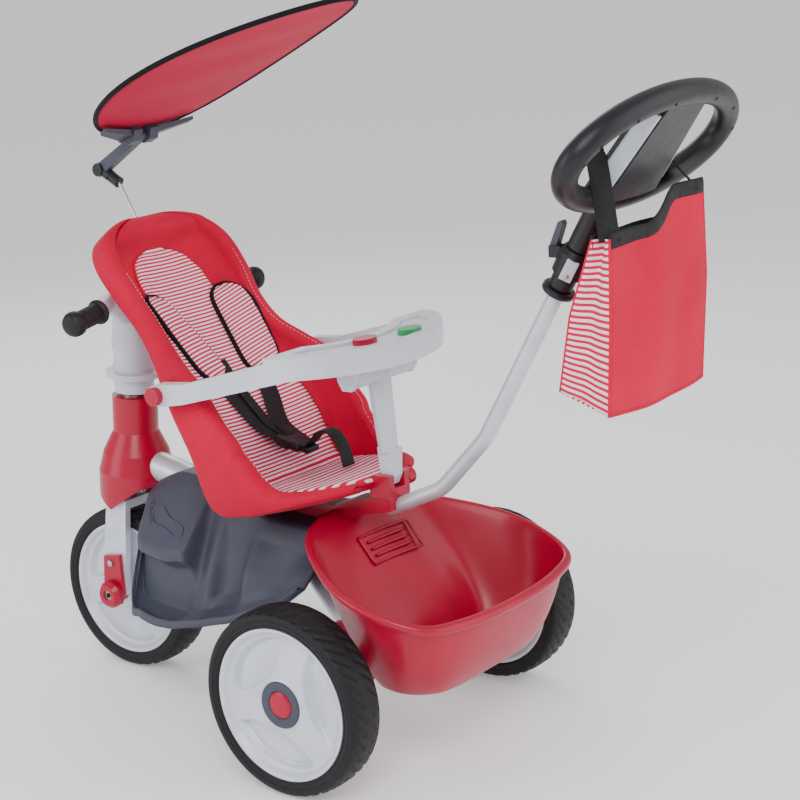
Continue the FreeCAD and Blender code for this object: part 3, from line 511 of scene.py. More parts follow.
SEAT_STATIONS = [
    ((14, 348), PAN_UP, 62, 1, 17, -6), ((32, 346), PAN_UP, 92, 1, 20, -8),
    ((58, 343), PAN_UP, 116, 1, 24, -10), ((84, 340), PAN_UP, 130, 4, 28, -14),
    ((110, 337), PAN_UP, 138, 20, 31, -18), ((134, 334), PAN_UP, 142, 52, 33, -20),
    ((177, 330), CREASE_FACE, 145, 78, 36, -14), (back_place(66), BACK_FACE, 146, 68, 35, 8),
    (back_place(125), BACK_FACE, 144, 66, 35, 18), (back_place(165), BACK_FACE, 134, 50, 32, 16),
    (back_place(205), BACK_FACE, 121, 35, 26, 10), (back_place(250), BACK_FACE, 117, 31, 20, 9),
    (back_place(300), BACK_FACE, 123, 33, 20, 8), (back_place(350), BACK_FACE, 121, 32, 22, 4),
    (back_place(385), BACK_FACE, 98, 28, 26, -4), (back_place(404), BACK_FACE, 60, 20, 18, -4),
    (back_place(411), BACK_FACE, 30, 9, 8, -2)]
PAN_STRIPES = 0.42      # the stripes on the pan are this much sparser than on the back
HEAD_START = 358        # how far up from the crease the border closes over the head
STATION_STEPS = 6
CREASE_TRAVEL = 167.0   # distance along the seat from the nose to the crease
PAD_DEPTH = 7.0
BOLSTER = 26.0
SEAM_BORDER = 3.0      # between the striped panel and the bolster
CREASE_STATION = 6      # place of the crease in the list of stations
SHELL_GAP = 8.4        # from the nominal outside to the inside of the plastic shell
SHELL_RIM = 9.0        # how far the shell's rim lies below the cover's


Row = namedtuple("Row", "place face half rim depth belly travelled")


def station_rows():
    """Smooth rows between the stations, each with its distance along the seat."""
    flat = [np.array([*p, *o, w, r, d, b], float) for p, o, w, r, d, b in SEAT_STATIONS]
    rows = smooth_path(flat, STATION_STEPS)
    travelled, last, out = 0.0, rows[0][:2], []
    for row in rows:
        travelled += float(np.linalg.norm(row[:2] - last))
        last = row[:2]
        face = row[2:4] / np.linalg.norm(row[2:4])
        out.append(Row(row[:2], face, *row[4:8], travelled))
    return out


def section_point(row, side, level):
    x, z = row.place + row.face * level
    return at(x, side, z)


def inner_curve(row, count=12):
    """Half of the padded inside, from the middle up to the roll of the rim: (side, level) pairs."""
    width = max(row.half - BOLSTER, row.half * 0.3)
    crown = smooth_step((row.travelled - CREASE_TRAVEL - HEAD_START) / 24)
    low = -PAD_DEPTH + (row.rim + PAD_DEPTH) * crown
    knee = max(min(row.belly + 14, row.rim - 3), low + 1.5 - 1.2 * crown)
    points = []
    for k in range(count):
        angle = 0.5 * math.pi * k / (count - 1)
        points.append((width * math.sin(angle), low + (knee - low) * (1 - math.cos(angle))))
    return points, width, max(row.rim, knee + 1)


def rim_roll(row, width, top, count=9):
    middle, radius = (row.half + width) / 2, (row.half - width) / 2
    lift = min(radius, max(top - row.belly, 4) * 0.6)
    points = []
    for k in range(count):
        angle = math.pi * (1 - k / (count - 1))
        points.append((middle + radius * math.cos(angle), top - lift + lift * math.sin(angle)))
    return points


def outer_curve(row, inset, start, stop, count):
    """Half of a U section outside the shell: start and stop are degrees up from the middle."""
    half = row.half - inset
    low = -row.depth + inset
    knee = max(row.belly, low + 6)
    points = []
    for k in range(count):
        angle = math.radians(start + (stop - start) * k / (count - 1))
        points.append((half * math.sin(angle), low + (knee - low) * (1 - math.cos(angle))))
    return points


def seat_section(row):
    """The right half of one closed section of the cover, wrapped over the shell's rim."""
    inner, width, top = inner_curve(row)
    roll = rim_roll(row, width, top)
    knee = max(row.belly, -row.depth + 6)
    swell = 1.2 * math.sin(row.travelled / 19) + 0.7 * math.sin(row.travelled / 7.3)
    outside = [(y + 0.05 * swell, n) for y, n in outer_curve(row, 0, 90, 52, 9)]
    hem = [(outside[-1][0] - 1.2, outside[-1][1] + 0.9)]
    lining = outer_curve(row, 1.5, 54, 90, 6)
    ledge = max(top - SHELL_RIM + 0.6, knee + 1.6)
    over = [(row.half - 1.6, ledge), (row.half - SHELL_GAP, ledge)]
    back = outer_curve(row, SHELL_GAP, 90, 0, 9)
    return inner[:-1] + roll + outside[1:] + hem + lining + over + back


def make_seat_cover():
    rows = station_rows()
    loops = []
    for row in rows:
        half = seat_section(row)
        left = [section_point(row, y, n) for y, n in half]
        right = [section_point(row, -y, n) for y, n in half[1:-1][::-1]]
        loops.append(left + right)
    cover = add_loops("seat_cover_padded", loops, "red_fabric", "seat")
    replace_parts(cover, "seat_cover")
    return rows


def blended_row(rows, travelled):
    """The section at an exact distance along the seat."""
    for a, b in zip(rows, rows[1:]):
        if a.travelled <= travelled <= b.travelled:
            t = (travelled - a.travelled) / max(b.travelled - a.travelled, 1e-6)
            place, face, *mixed = [p * (1 - t) + q * t for p, q in zip(a[:6], b[:6])]
            return Row(place, face / np.linalg.norm(face), *mixed, travelled)
    return rows[-1] if travelled > rows[-1].travelled else rows[0]


def surface_level(row, side):
    """Height of the padded inside at a distance from the middle."""
    inner = inner_curve(row, 24)[0]
    side = abs(side)
    for (y0, n0), (y1, n1) in zip(inner, inner[1:]):
        if y0 <= side <= y1:
            return n0 + (n1 - n0) * (side - y0) / max(y1 - y0, 1e-6)
    return inner[-1][1]


PANEL_HALF_WIDTHS = [(-170, 52), (-150, 82), (-120, 102), (-60, 112), (0, 112), (60, 110), (100, 106),
                     (160, 92), (220, 76), (280, 64), (320, 61), (345, 50), (358, 34), (366, 8)]


def panel_half_width(row, crease_at):
    """Half width of the striped centre panel, kept clear of the bolster."""
    places, widths = zip(*PANEL_HALF_WIDTHS)
    return min(np.interp(row.travelled - crease_at, places, widths), row.half - BOLSTER - SEAM_BORDER)


def make_seat_panel(rows):
    """The striped, lightly padded panel down the middle of the seat."""
    crease_at = rows[CREASE_STATION * STATION_STEPS].travelled
    start, stop = crease_at - 168, crease_at + 366
    steps, across = 110, 28
    verts, uvs = [], []
    for upper in (True, False):
        for i in range(steps + 1):
            travelled = start + (stop - start) * i / steps
            row = blended_row(rows, travelled)
            half = panel_half_width(row, crease_at)
            end = max(0.0, min(1, (travelled - start) / 14, (stop - travelled) / 14))
            nose = 1.8 * smooth_step((crease_at - travelled - 95) / 40)
            distance = travelled - crease_at
            along = (distance if distance > 0 else distance * PAN_STRIPES) / 1000
            for j in range(across + 1):
                t = 2 * j / across - 1
                edge = max(0.0, 1 - abs(t) ** 10) * end
                puff = 5.2 * edge ** 0.5 + 0.7 * math.sin(travelled / 21 + t * 2.2) * edge
                level = surface_level(row, half * t) + nose + (0.9 + puff if upper else -1.2)
                verts.append(section_point(row, half * t, level))
                uvs.append((half * t / 1000, along))
    faces = two_layer_faces(steps + 1, across + 1)
    panel = add_mesh("seat_panel_striped", verts, faces, "striped_fabric", "seat", uvs=uvs)
    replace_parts(panel, "seat_pad")
    return crease_at


def seat_point(rows, travelled, side, lift):
    row = blended_row(rows, travelled)
    return section_point(row, side, surface_level(row, side) + lift)


def make_panel_piping(rows, crease_at):
    """Raised seam cord around the striped panel."""
    start, stop = crease_at - 160, crease_at + 362
    for side, name in SIDES:
        path = []
        for k in range(70):
            travelled = start + (stop - start) * k / 69
            half = panel_half_width(blended_row(rows, travelled), crease_at)
            path.append(seat_point(rows, travelled, side * (half + 1.0), 1.4))
        tube("panel_seam_" + name, path, 0.0016, "red_fabric", "seat", sides=8)


def make_wing_stitching(rows):
    """A row of single pale stitches just inside the rim of each wing."""
    for side, name in SIDES:
        verts, faces = [], []
        travelled = rows[20].travelled
        while travelled < CREASE_TRAVEL + HEAD_START - 40:
            a = rim_spot(rows, travelled, side, 0.9)
            b = rim_spot(rows, travelled + 3.4, side, 0.9)
            add_stitch(verts, faces, a, b, 0.00055)
            travelled += 5.2
        add_mesh("wing_stitching_" + name, verts, faces, "thread", "seat", "red_fabric", smooth=False)


def rim_spot(rows, travelled, side, lift):
    row = blended_row(rows, travelled)
    width, top = inner_curve(row)[1:]
    y, n = rim_roll(row, width, top)[3]
    return section_point(row, side * (y - lift * 0.7), n + lift * 0.7)


def add_stitch(verts, faces, a, b, r):
    forward = (b - a).normalized()
    across = forward.orthogonal().normalized()
    other = forward.cross(across)
    base = len(verts)
    for point, size in ((a, 0.5), ((a + b) / 2, 1.2), (b, 0.5)):
        for k in range(6):
            angle = math.pi * k / 3
            verts.append(point + (across * math.cos(angle) + other * math.sin(angle)) * r * size)
    for ring in range(2):
        for k in range(6):
            m = (k + 1) % 6
            c = base + ring * 6
            faces.append((c + k, c + m, c + 6 + m, c + 6 + k))
    faces.append(tuple(base + k for k in range(6))[::-1])
    faces.append(tuple(base + 12 + k for k in range(6)))


# ------------------------------------------------------------------ harness
def make_shoulder_pads(rows, crease_at):
    """Two padded striped sleeves on the shoulder belts: foot (s, inner y, outer y) and top."""
    make_shoulder_pad("shoulder_pad_left", rows, crease_at, (152, -4, 50), (292, 40, 88))
    make_shoulder_pad("shoulder_pad_right", rows, crease_at, (146, -92, -34), (284, -90, -44))


def pad_spot(rows, crease_at, foot, top, along, across, lift):
    corner = max(0.0, 1 - abs(2 * along - 1) ** 7) ** 0.5
    s = foot[0] + (top[0] - foot[0]) * along
    inner = foot[1] + (top[1] - foot[1]) * along
    outer = foot[2] + (top[2] - foot[2]) * along
    side = (inner + outer) / 2 + (outer - inner) / 2 * across * max(corner, 0.30)
    return seat_point(rows, crease_at + s, side, lift)


def make_shoulder_pad(name, rows, crease_at, foot, top):
    steps, across = 44, 16
    verts, uvs = [], []
    for upper in (True, False):
        for i in range(steps + 1):
            along = i / steps
            end = min(1.0, along * 9, (1 - along) * 9)
            for j in range(across + 1):
                t = 2 * j / across - 1
                puff = max(0.0, (1 - abs(t) ** 3.2)) ** 0.5 * end ** 0.5
                crinkle = 0.5 * math.sin(along * 40 + t * 2) * puff
                lift = 8.5 + 9.5 * puff + crinkle if upper else 6.0
                verts.append(pad_spot(rows, crease_at, foot, top, along, t, lift))
                uvs.append((t * 0.025, along * 0.140 + t * 0.004))
    faces = two_layer_faces(steps + 1, across + 1)
    pad = add_mesh(name, verts, faces, "striped_fabric", "seat", uvs=uvs)
    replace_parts(pad, "shoulder_pads")
    around = [(k / 30, 1) for k in range(31)] + [(1, 1 - k / 6) for k in range(1, 12)]
    around += [(1 - k / 30, -1) for k in range(31)] + [(0, k / 6 - 1) for k in range(1, 12)]
    edge = [pad_spot(rows, crease_at, foot, top, along, t, 8) for along, t in around]
    tube(name + "_binding", edge, 0.0032, "black_cloth", "seat", "webbing", closed=True)


def smooth_vectors(points, steps):
    return [Vector(p) for p in smooth_path([tuple(p) for p in points], steps)]


def strap(name, points, facing, width):
    """A harness belt through points, with its outer face turned by facing."""
    path = smooth_vectors(points, 8)
    return ribbon(name, path, [facing(point) for point in path], width, 0.0018, "webbing", "seat")


def rounded_box(name, centre, axes, size, bevel, material, body, slot=None):
    """A box with rounded edges. axes are its own directions, size its lengths along them in metres."""
    work = bmesh.new()
    bmesh.ops.create_cube(work, size=1.0)
    for vert in work.verts:
        vert.co = Vector([c * s for c, s in zip(vert.co, size)])
    bmesh.ops.bevel(work, geom=work.edges, offset=bevel, segments=3, profile=0.5, affect="EDGES")
    turn = Matrix(axes).transposed()
    verts = [Vector(centre) + turn @ vert.co for vert in work.verts]
    work.verts.index_update()
    faces = [tuple(v.index for v in face.verts) for face in work.faces]
    work.free()
    return add_mesh(name, verts, faces, material, body, slot)


def make_harness():
    """Two shoulder belts, one doubled back, the crotch loop and the buckle they meet in."""
    def from_back(point):
        return BACK_OUT + Vector((0, 0, 0.25))

    loop_middle = at(112, -10, 352)
    near = [(196, 34, 9), (150, 26, 5), (110, 17, 5), (70, 5, 8)]
    doubled = [(176, 8, 8), (140, 4, 7), (100, -2, 8), (66, -8, 11)]
    far = [(190, -62, 9), (150, -56, 5), (110, -46, 5), (70, -30, 9)]
    loop = [(150, 366), (136, 376), (120, 392), (102, 392), (86, 374), (78, 348)]
    for name, points, end, width in (("belt_left", near, at(186, -4, 376), 0.026),
                                     ("belt_left_doubled", doubled, at(180, -12, 379), 0.016),
                                     ("belt_right", far, at(178, -20, 378), 0.030)):
        belt = strap(name, [on_back(*point) for point in points] + [end], from_back, width)
        if belt.name != "belt_left_doubled":
            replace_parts(belt, "harness")
    crotch = strap("belt_crotch", [at(x, -10, z) for x, z in loop], lambda point: point - loop_middle, 0.024)
    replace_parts(crotch, "harness")
    slope = math.radians(14)
    long = Vector((-math.cos(slope), 0, -math.sin(slope)))
    up = Vector((-math.sin(slope), 0, math.cos(slope)))
    side = up.cross(long)
    centre = at(172, -11, 371)
    grips = centre - long * 0.004
    for name, place, size, bevel in (("body", centre, (0.044, 0.038, 0.012), 0.004),
                                     ("tongue", centre + long * 0.026, (0.018, 0.026, 0.009), 0.003),
                                     ("grip_0", grips - side * 0.018, (0.020, 0.006, 0.013), 0.002),
                                     ("grip_2", grips + side * 0.018, (0.020, 0.006, 0.013), 0.002)):
        piece = rounded_box("buckle_" + name, place, (long, side, up), size, bevel, "black_plastic", "seat")
        if name == "body":
            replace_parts(piece, "buckle")


# ------------------------------------------------------------------ grips and screws
GRIP_RINGS = 7


def make_grips():
    """Rubber grips with rings and a rounded end, each on its half of the handlebar."""
    for side, name in SIDES:
        inner, outer = at(379, side * 126, 558), at(371, side * 190, 550)
        axis = outer - inner
        length = axis.length
        profile = [(0.0136, 0.0), (0.0168, 0.001), (0.0170, 0.0035), (0.0160, 0.005), (0.0124, 0.006)]
        pitch = (length - 0.028) / GRIP_RINGS
        for k in range(GRIP_RINGS):
            start = 0.0075 + pitch * k
            profile += [(0.0124, start), (0.0135, start + pitch * 0.25), (0.0135, start + pitch * 0.75),
                        (0.0124, start + pitch * 0.97)]
        end = length - 0.0185
        profile += [(0.0130, end), (0.0166, end + 0.002), (0.0171, end + 0.006), (0.0166, end + 0.011),
                    (0.0146, end + 0.015), (0.0105, end + 0.0178), (0.0050, end + 0.0190),
                    (0.0012, end + 0.0193)]
        grip = turned("grip_rubber_" + name, profile, inner, axis, "grip_rubber", "fork")
        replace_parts(grip, "grip_" + name)


def make_screw(name, place, axis, radius, body):
    """A pan-headed cross screw, small enough to read as one dark or bright dot."""
    profile = [(radius, 0.0), (radius, 0.0006), (radius * 0.82, 0.0014), (radius * 0.45, 0.0018),
               (radius * 0.28, 0.0018), (radius * 0.24, 0.0008), (radius * 0.02, 0.0008)]
    turned(name, profile, place, axis, "steel", body, steps=20)


# ------------------------------------------------------------------ wheels
TYRE_HALF = [(98, 0.0), (98, 21), (98, 24), (101, 25.2), (104, 26), (108, 26.8), (111, 27), (114, 26.3),
             (116, 25), (117.2, 23), (118, 21), (118.7, 18.5), (119.2, 16), (119.6, 13), (119.8, 10.5),
             (120, 8), (120, 4), (120, 0.0)]
TREAD_BLOCKS = 42
SPOKE_ANGLE = math.radians(107)
RECESS_FAR = 134        # how far the middle of each recess's inner circle lies from the axle
RECESS_R = 97
RECESS_OUTER = 84.5


def wheel_point(centre, radius, angle, side):
    return at(centre[0] + radius * math.cos(angle), centre[1] + side, centre[2] + radius * math.sin(angle))


def groove_depth(radius, side, turn, mirror):
    """How deep the slanted shoulder grooves of the tread are at a point, in millimetres."""
    if radius < 116.2 or abs(side) < 5:
        return 0.0
    phase = (turn * TREAD_BLOCKS + mirror * abs(side) * 0.055) % 1.0
    cut = smooth_step((0.20 - abs(phase - 0.5)) / 0.07)
    return 2.0 * cut * smooth_step((abs(side) - 5) / 2) * smooth_step((25 - abs(side)) / 2)


def make_tyre(name, centre, body, replaced):
    steps = TREAD_BLOCKS * 10
    profile = TYRE_HALF + [(r, -y) for r, y in TYRE_HALF[-2:0:-1]]
    loops = []
    for k in range(steps):
        angle = 2 * math.pi * k / steps
        ring = []
        for radius, side in profile:
            mirror = 1 if side > 0 else -1
            deep = groove_depth(radius, side, k / steps, mirror)
            ring.append(wheel_point(centre, radius - deep, angle, side * (1 - deep * 0.01)))
        loops.append(ring)
    tyre = add_loops(name, loops, "tyre_plastic", body, closed_along=True)
    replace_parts(tyre, replaced)
    for side, end in SIDES:
        for radius, lift, size in ((107.5, 26.6, 0.7), (101.5, 25.4, 0.5)):
            path = [wheel_point(centre, radius, 2 * math.pi * k / 96, side * lift) for k in range(96)]
            tube(f"{name}_bead_{end}_{round(radius)}", path, size / 1000, "tyre_plastic", body, closed=True,
                 sides=6)


def recess(radius, angle):
    """Share of full depth of the three rounded recesses between the spokes."""
    deepest = 0.0
    for k in range(3):
        middle = SPOKE_ANGLE + math.radians(60 + 120 * k)
        gap = math.sqrt(radius ** 2 + RECESS_FAR ** 2 - 2 * radius * RECESS_FAR * math.cos(angle - middle))
        inside = min(RECESS_OUTER - radius, RECESS_R - gap)
        deepest = max(deepest, smooth_step(inside / 3.4))
    return deepest


def face_height(radius, angle, hub):
    """Height of the wheel face below its outer lip, in millimetres."""
    lip = 9 * smooth_step((95 - radius) / 8)
    cone = 3.5 * smooth_step((86 - radius) / 55)
    deep = recess(radius, angle)
    pit = 12 * deep
    dome = -4.5 * smooth_step((radius - 44) / 30) * smooth_step((86 - radius) / 10) * deep
    plate = -2.5 * smooth_step((hub - radius) / 3)
    return lip - cone + pit + dome + plate


def make_rim(name, centre, half_width, body, replaced, hub):
    """A moulded wheel disc: the same face on both sides around a flat outer wall."""
    radii = [7.0, 12, 18, 24, 29, 31, 33] + [34 + 1.5 * k for k in range(34)]
    radii += [85.5, 87, 88.5, 90, 91.5, 93, 94.5, 96, 97.6]
    turns = [2 * math.pi * k / 288 for k in range(288)]
    face = [(radius, [half_width - face_height(radius, turn, hub) for turn in turns]) for radius in radii]
    wall = [(98, [half_width - 1.2] * 288), (98, [1.2 - half_width] * 288)]
    back = [(radius, [-side for side in sides]) for radius, sides in face[::-1]]
    loops = [[wheel_point(centre, radius, turn, side) for turn, side in zip(turns, sides)]
             for radius, sides in face + wall + back]
    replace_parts(add_loops(name, loops, "wheel_plastic", body, closed_along=True), replaced)


def make_wheels():
    make_tyre("tyre_front", (483, 0, 120), "front_wheel", "front_tyre")
    make_rim("rim_front", (483, 0, 120), 24, "front_wheel", "front_rim", 24)
    for side, name in SIDES:
        make_tyre("tyre_" + name, (0, side * 223, 120), "rear_wheel_" + name, "rear_tyre_" + name)
        make_rim("rim_" + name, (0, side * 223.5, 120), 24.5, "rear_wheel_" + name, "rear_rim_" + name, 34)


# ------------------------------------------------------------------ footrest
# Half sections of the moulded footrest, from the saddle over the tube, down the sloping foot panel,
# in under it and out over the deck to the turned-up rim: the place along X, then (y, z) pairs.
FOOTREST = [
    (404, [(0, 290), (22, 290), (40, 279), (46, 269), (52, 257), (53, 250), (52, 244), (51, 240), (52, 238),
           (54, 239), (56, 234)]),
    (385, [(0, 301), (26, 301), (44, 288), (66, 260), (87, 231), (89, 219), (72, 206), (82, 150), (98, 145),
           (107, 147), (110, 137)]),
    (350, [(0, 315), (30, 315), (48, 298), (75, 264), (101, 229), (103, 215), (84, 202), (92, 146),
           (116, 140), (127, 144), (131, 134)]),
    (315, [(0, 319), (38, 319), (54, 300), (82, 264), (109, 229), (111, 214), (91, 200), (98, 144),
           (126, 138), (137, 143), (141, 132)]),
    (288, [(0, 314), (42, 314), (57, 294), (84, 264), (110, 233), (111, 218), (94, 203), (102, 145),
           (131, 139), (142, 145), (145, 134)]),
    (277, [(0, 311), (43, 311), (58, 292), (84, 263), (109, 232), (110, 217), (96, 202), (105, 147),
           (133, 140), (143, 146), (146, 135)]),
    (265, [(0, 306), (46, 306), (57, 282), (68, 252), (82, 222), (92, 202), (101, 180), (112, 158),
           (136, 143), (145, 149), (148, 138)]),
    (240, [(0, 299), (52, 299), (66, 274), (82, 247), (97, 218), (104, 197), (110, 174), (118, 159),
           (139, 148), (148, 155), (150, 144)]),
    (222, [(0, 295), (55, 295), (70, 262), (78, 236), (85, 214), (89, 196), (94, 178), (106, 163),
           (139, 152), (148, 159), (150, 148)]),
    (190, [(0, 289), (60, 289), (74, 256), (81, 234), (87, 216), (92, 202), (97, 188), (110, 173),
           (138, 161), (147, 168), (149, 157)]),
    (168, [(0, 286), (65, 286), (80, 258), (96, 241), (110, 224), (115, 209), (118, 195), (123, 181),
           (138, 167), (147, 174), (149, 163)]),
    (150, [(0, 284), (66, 284), (80, 257), (95, 240), (109, 224), (114, 211), (118, 199), (122, 187),
           (137, 174), (146, 181), (148, 171)]),
    (118, [(0, 281), (64, 281), (78, 252), (88, 236), (98, 222), (105, 212), (112, 204), (118, 197),
           (134, 187), (143, 194), (145, 184)]),
    (91, [(0, 278), (60, 278), (74, 249), (86, 238), (98, 228), (105, 220), (110, 213), (116, 207),
          (128, 197), (138, 204), (140, 195)]),
    (64, [(0, 274), (50, 274), (64, 253), (76, 245), (88, 239), (95, 234), (100, 230), (106, 226),
          (116, 219), (126, 225), (128, 217)])]
FOOTREST_ROW_STEPS = 6
CORNER_CUT = 0.16           # share of each flat that its rounded corner takes


def footrest_grid():
    rows = []
    flat = [np.array([x] + [c for point in half for c in point], float) for x, half in FOOTREST]
    for row in smooth_path(flat, FOOTREST_ROW_STEPS):
        points = [np.array((row[1 + 2 * k], row[2 + 2 * k])) for k in range((len(row) - 1) // 2)]
        rows.append((row[0], points))
    return rows


def round_corners(points):
    """The same outline with flats kept flat and every corner turned by a small arc."""
    out = [points[0]]
    for before, corner, after in zip(points, points[1:], points[2:]):
        first = corner + (before - corner) * CORNER_CUT
        last = corner + (after - corner) * CORNER_CUT
        for t in (0, 0.33, 0.67, 1):
            out.append(first * (1 - t) ** 2 + corner * 2 * t * (1 - t) + last * t ** 2)
    out.append(points[-1])
    return out


def footrest_spot(rows, x, place, side):
    """A point on the moulding: place counts along the half section from 0 at the middle."""
    row = min(rows, key=lambda r: abs(r[0] - x))
    low = min(int(place), len(row[1]) - 2)
    t = place - low
    y = row[1][low][0] * (1 - t) + row[1][low + 1][0] * t
    z = row[1][low][1] * (1 - t) + row[1][low + 1][1] * t
    return at(x, side * y, z)


def make_footrest():
    rows = footrest_grid()
    sections = [(x, round_corners(points)) for x, points in rows]
    count = len(sections[0][1])
    verts, faces = [], []
    for x, half in sections:
        for y, z in half[:0:-1]:
            verts.append(at(x, -y, z))
        for y, z in half:
            verts.append(at(x, y, z))
    width = 2 * count - 1
    for i in range(len(sections) - 1):
        for j in range(width - 1):
            a = i * width + j
            faces.append((a, a + 1, a + width + 1, a + width))
    rest = add_mesh("footrest_moulding", verts, faces, "grey_plastic", "frame")
    thicken(rest, 0.0042)
    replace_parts(rest, "footrest")
    for side, name in SIDES:
        make_footprint(rows, side, name)


def thicken(piece, depth):
    """Gives an open surface a wall below it, as one closed mesh."""
    work = bmesh.new()
    work.from_mesh(piece.data)
    bmesh.ops.recalc_face_normals(work, faces=work.faces)
    middle = max(work.faces, key=lambda face: face.calc_center_median().z)
    if middle.normal.z < 0:
        bmesh.ops.reverse_faces(work, faces=work.faces)
    bmesh.ops.solidify(work, geom=work.faces, thickness=depth)
    bmesh.ops.recalc_face_normals(work, faces=work.faces)
    work.to_mesh(piece.data)
    work.free()
    piece.data.shade_smooth()


def print_spot(rows, side, along, across):
    """A place on the foot panel: along runs from heel to toes in millimetres, across over the sole."""
    place = 3.35 - along * 0.006 + across * 0.021
    return footrest_spot(rows, 292 + along * 0.92 - across * 0.2, place, side)


def make_footprint(rows, side, name):
    """A raised outline of a bare foot with five toes, generic."""
    sole = [(0, 0), (2, 9), (14, 13), (34, 11), (52, 13), (68, 18), (80, 13), (82, 0), (76, -12), (60, -15),
            (44, -9), (28, -8), (12, -10), (2, -7)]
    outline = [print_spot(rows, side, a, b) for a, b in smooth_path(sole, 5, closed=True)]
    tube("footprint_" + name, outline, 0.0016, "grey_plastic", "frame", closed=True, sides=8)
    toes = [(91, -11, 4.6), (94, -2, 3.6), (93, 6, 3.3), (90, 12.5, 3.0), (85, 18, 2.8)]
    for k, (a, b, size) in enumerate(toes):
        turns = [math.radians(t) for t in range(0, 360, 20)]
        ring = [print_spot(rows, side, a + size * math.cos(t), b + size * math.sin(t)) for t in turns]
        tube(f"toe_{name}_{k}", ring, 0.0013, "grey_plastic", "frame", closed=True, sides=6)


# ------------------------------------------------------------------ basket
BASKET_FLOOR = (110, 0.0, [(-42, 0), (-42, 80), (-56, 116), (-90, 128), (-122, 116), (-140, 84), (-143, 0)])
BASKET_MIDDLE = (181, 0.2, [(-14, 0), (-14, 92), (-26, 136), (-92, 158), (-136, 146), (-160, 104), (-165, 0)])
BASKET_RIM = (270, 0.3, [(78, 0), (74, 62), (34, 128), (-60, 184), (-150, 168), (-178, 104), (-186, 0)])


def basket_level(t):
    """Height, slope and half outline on a smooth curve through the floor (0), middle (1) and rim (2)."""
    shares = ((1 - t) * (2 - t) / 2, t * (2 - t), t * (t - 1) / 2)
    levels = (BASKET_FLOOR, BASKET_MIDDLE, BASKET_RIM)
    return [sum(s * np.array(level[k], float) for s, level in zip(shares, levels)) for k in range(3)]


def basket_outline(t, inset, lift):
    """Closed outline at t, moved in by inset and up by lift."""
    height, rise, half = basket_level(t)
    half = list(half)
    closed = half + [np.array((p[0], -p[1])) for p in half[-2:0:-1]]
    curve = smooth_path(closed, 10, closed=True)
    middle = np.mean(curve, axis=0)
    points = []
    for i, point in enumerate(curve):
        ahead = curve[(i + 1) % len(curve)] - curve[i - 1]
        out = np.array((ahead[1], -ahead[0])) / np.linalg.norm(ahead)
        if out @ (point - middle) < 0:
            out = -out
        x, y = point - out * inset
        points.append(at(x, y, height + rise * x + lift))
    return points


def make_basket():
    wall = 3.4
    loops = []
    for inset, lift in ((70, 0), (26, 0), (9, 0.3), (3, 2.4)):
        loops.append(basket_outline(0, inset, lift))
    for k in range(1, 21):
        loops.append(basket_outline(k / 10, 0, 0 if k < 20 else -9))
    for inset, lift in ((-3.2, -9.2), (-6.2, -8.2), (-7.2, -5.0), (-7.0, -1.8), (-5.0, 0.6), (-1.5, 1.4),
                        (1.8, 0.8), (3.2, -1.2)):
        loops.append(basket_outline(2, inset, lift))
    for k in range(19, 0, -1):
        loops.append(basket_outline(k / 10, wall, 0))
    for inset, lift in ((6.5, 5.2), (12, 4.0), (28, wall), (70, wall)):
        loops.append(basket_outline(0, inset, lift))
    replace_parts(add_loops("basket_moulding", loops, "red_plastic", "frame"), "basket")


def make_basket_relief():
    """A plain raised frame with three long bars, moulded on the inside of the front wall."""
    low, high = 1.50, 1.76
    left, right = 20, -76
    corners = [(low, left), (low, right), (high, right), (high, left)]
    frame_path = []
    for (s0, y0), (s1, y1) in zip(corners, corners[1:] + corners[:1]):
        for k in range(10):
            t = k / 10
            frame_path.append(relief_spot(s0 + (s1 - s0) * t, y0 + (y1 - y0) * t))
    tube("basket_relief_frame", frame_path, 0.0018, "red_plastic", "frame", closed=True)
    for k in range(3):
        share = low + (high - low) * (k + 1) / 4
        bar = [relief_spot(share, left - 12 + (right - left + 24) * t / 8) for t in range(9)]
        tube(f"basket_relief_bar_{k}", bar, 0.0022, "red_plastic", "frame")


def relief_spot(share, y):
    """A point on the flat middle of the basket's front wall."""
    shares = ((1 - share) * (2 - share) / 2, share * (2 - share), share * (share - 1) / 2)
    levels = (BASKET_FLOOR, BASKET_MIDDLE, BASKET_RIM)
    fronts = [level[2][0][0] for level in levels]
    x = sum(s * front for s, front in zip(shares, fronts)) - 4.4 - 4.6 * (y / 62) ** 2
    z = sum(s * (level[0] + level[1] * front) for s, level, front in zip(shares, levels, fronts))
    return at(x, y, z)


# ------------------------------------------------------------------ thin sheets
def make_sheet(name, grid, thick, material, body, slot):
    """A closed thin sheet over a grid of points; the texture follows the grid's own lengths."""
    rows, cols = len(grid), len(grid[0])
    normals = []
    for i in range(rows):
        line = []
        for j in range(cols):
            down = grid[min(i + 1, rows - 1)][j] - grid[max(i - 1, 0)][j]
            over = grid[i][min(j + 1, cols - 1)] - grid[i][max(j - 1, 0)]
            line.append(down.cross(over).normalized())
        normals.append(line)
    heights = [0.0]
    for i in range(1, rows):
        heights.append(heights[-1] + (grid[i][cols // 2] - grid[i - 1][cols // 2]).length)
    verts, uvs = [], []
    for sign in (1, -1):
        for i in range(rows):
            travelled = 0.0
            for j in range(cols):
                travelled += (grid[i][j] - grid[i][j - 1]).length if j else 0.0
                verts.append(grid[i][j] + normals[i][j] * (sign * thick / 2))
                uvs.append((travelled, heights[i]))
    return add_mesh(name, verts, two_layer_faces(rows, cols), material, body, slot, uvs)


def grid_area(grid):
    total = 0.0
    for upper, lower in zip(grid, grid[1:]):
        for j in range(len(upper) - 1):
            total += (upper[j + 1] - upper[j]).cross(lower[j] - upper[j]).length / 2
            total += (upper[j + 1] - lower[j + 1]).cross(lower[j] - lower[j + 1]).length / 2
    return total


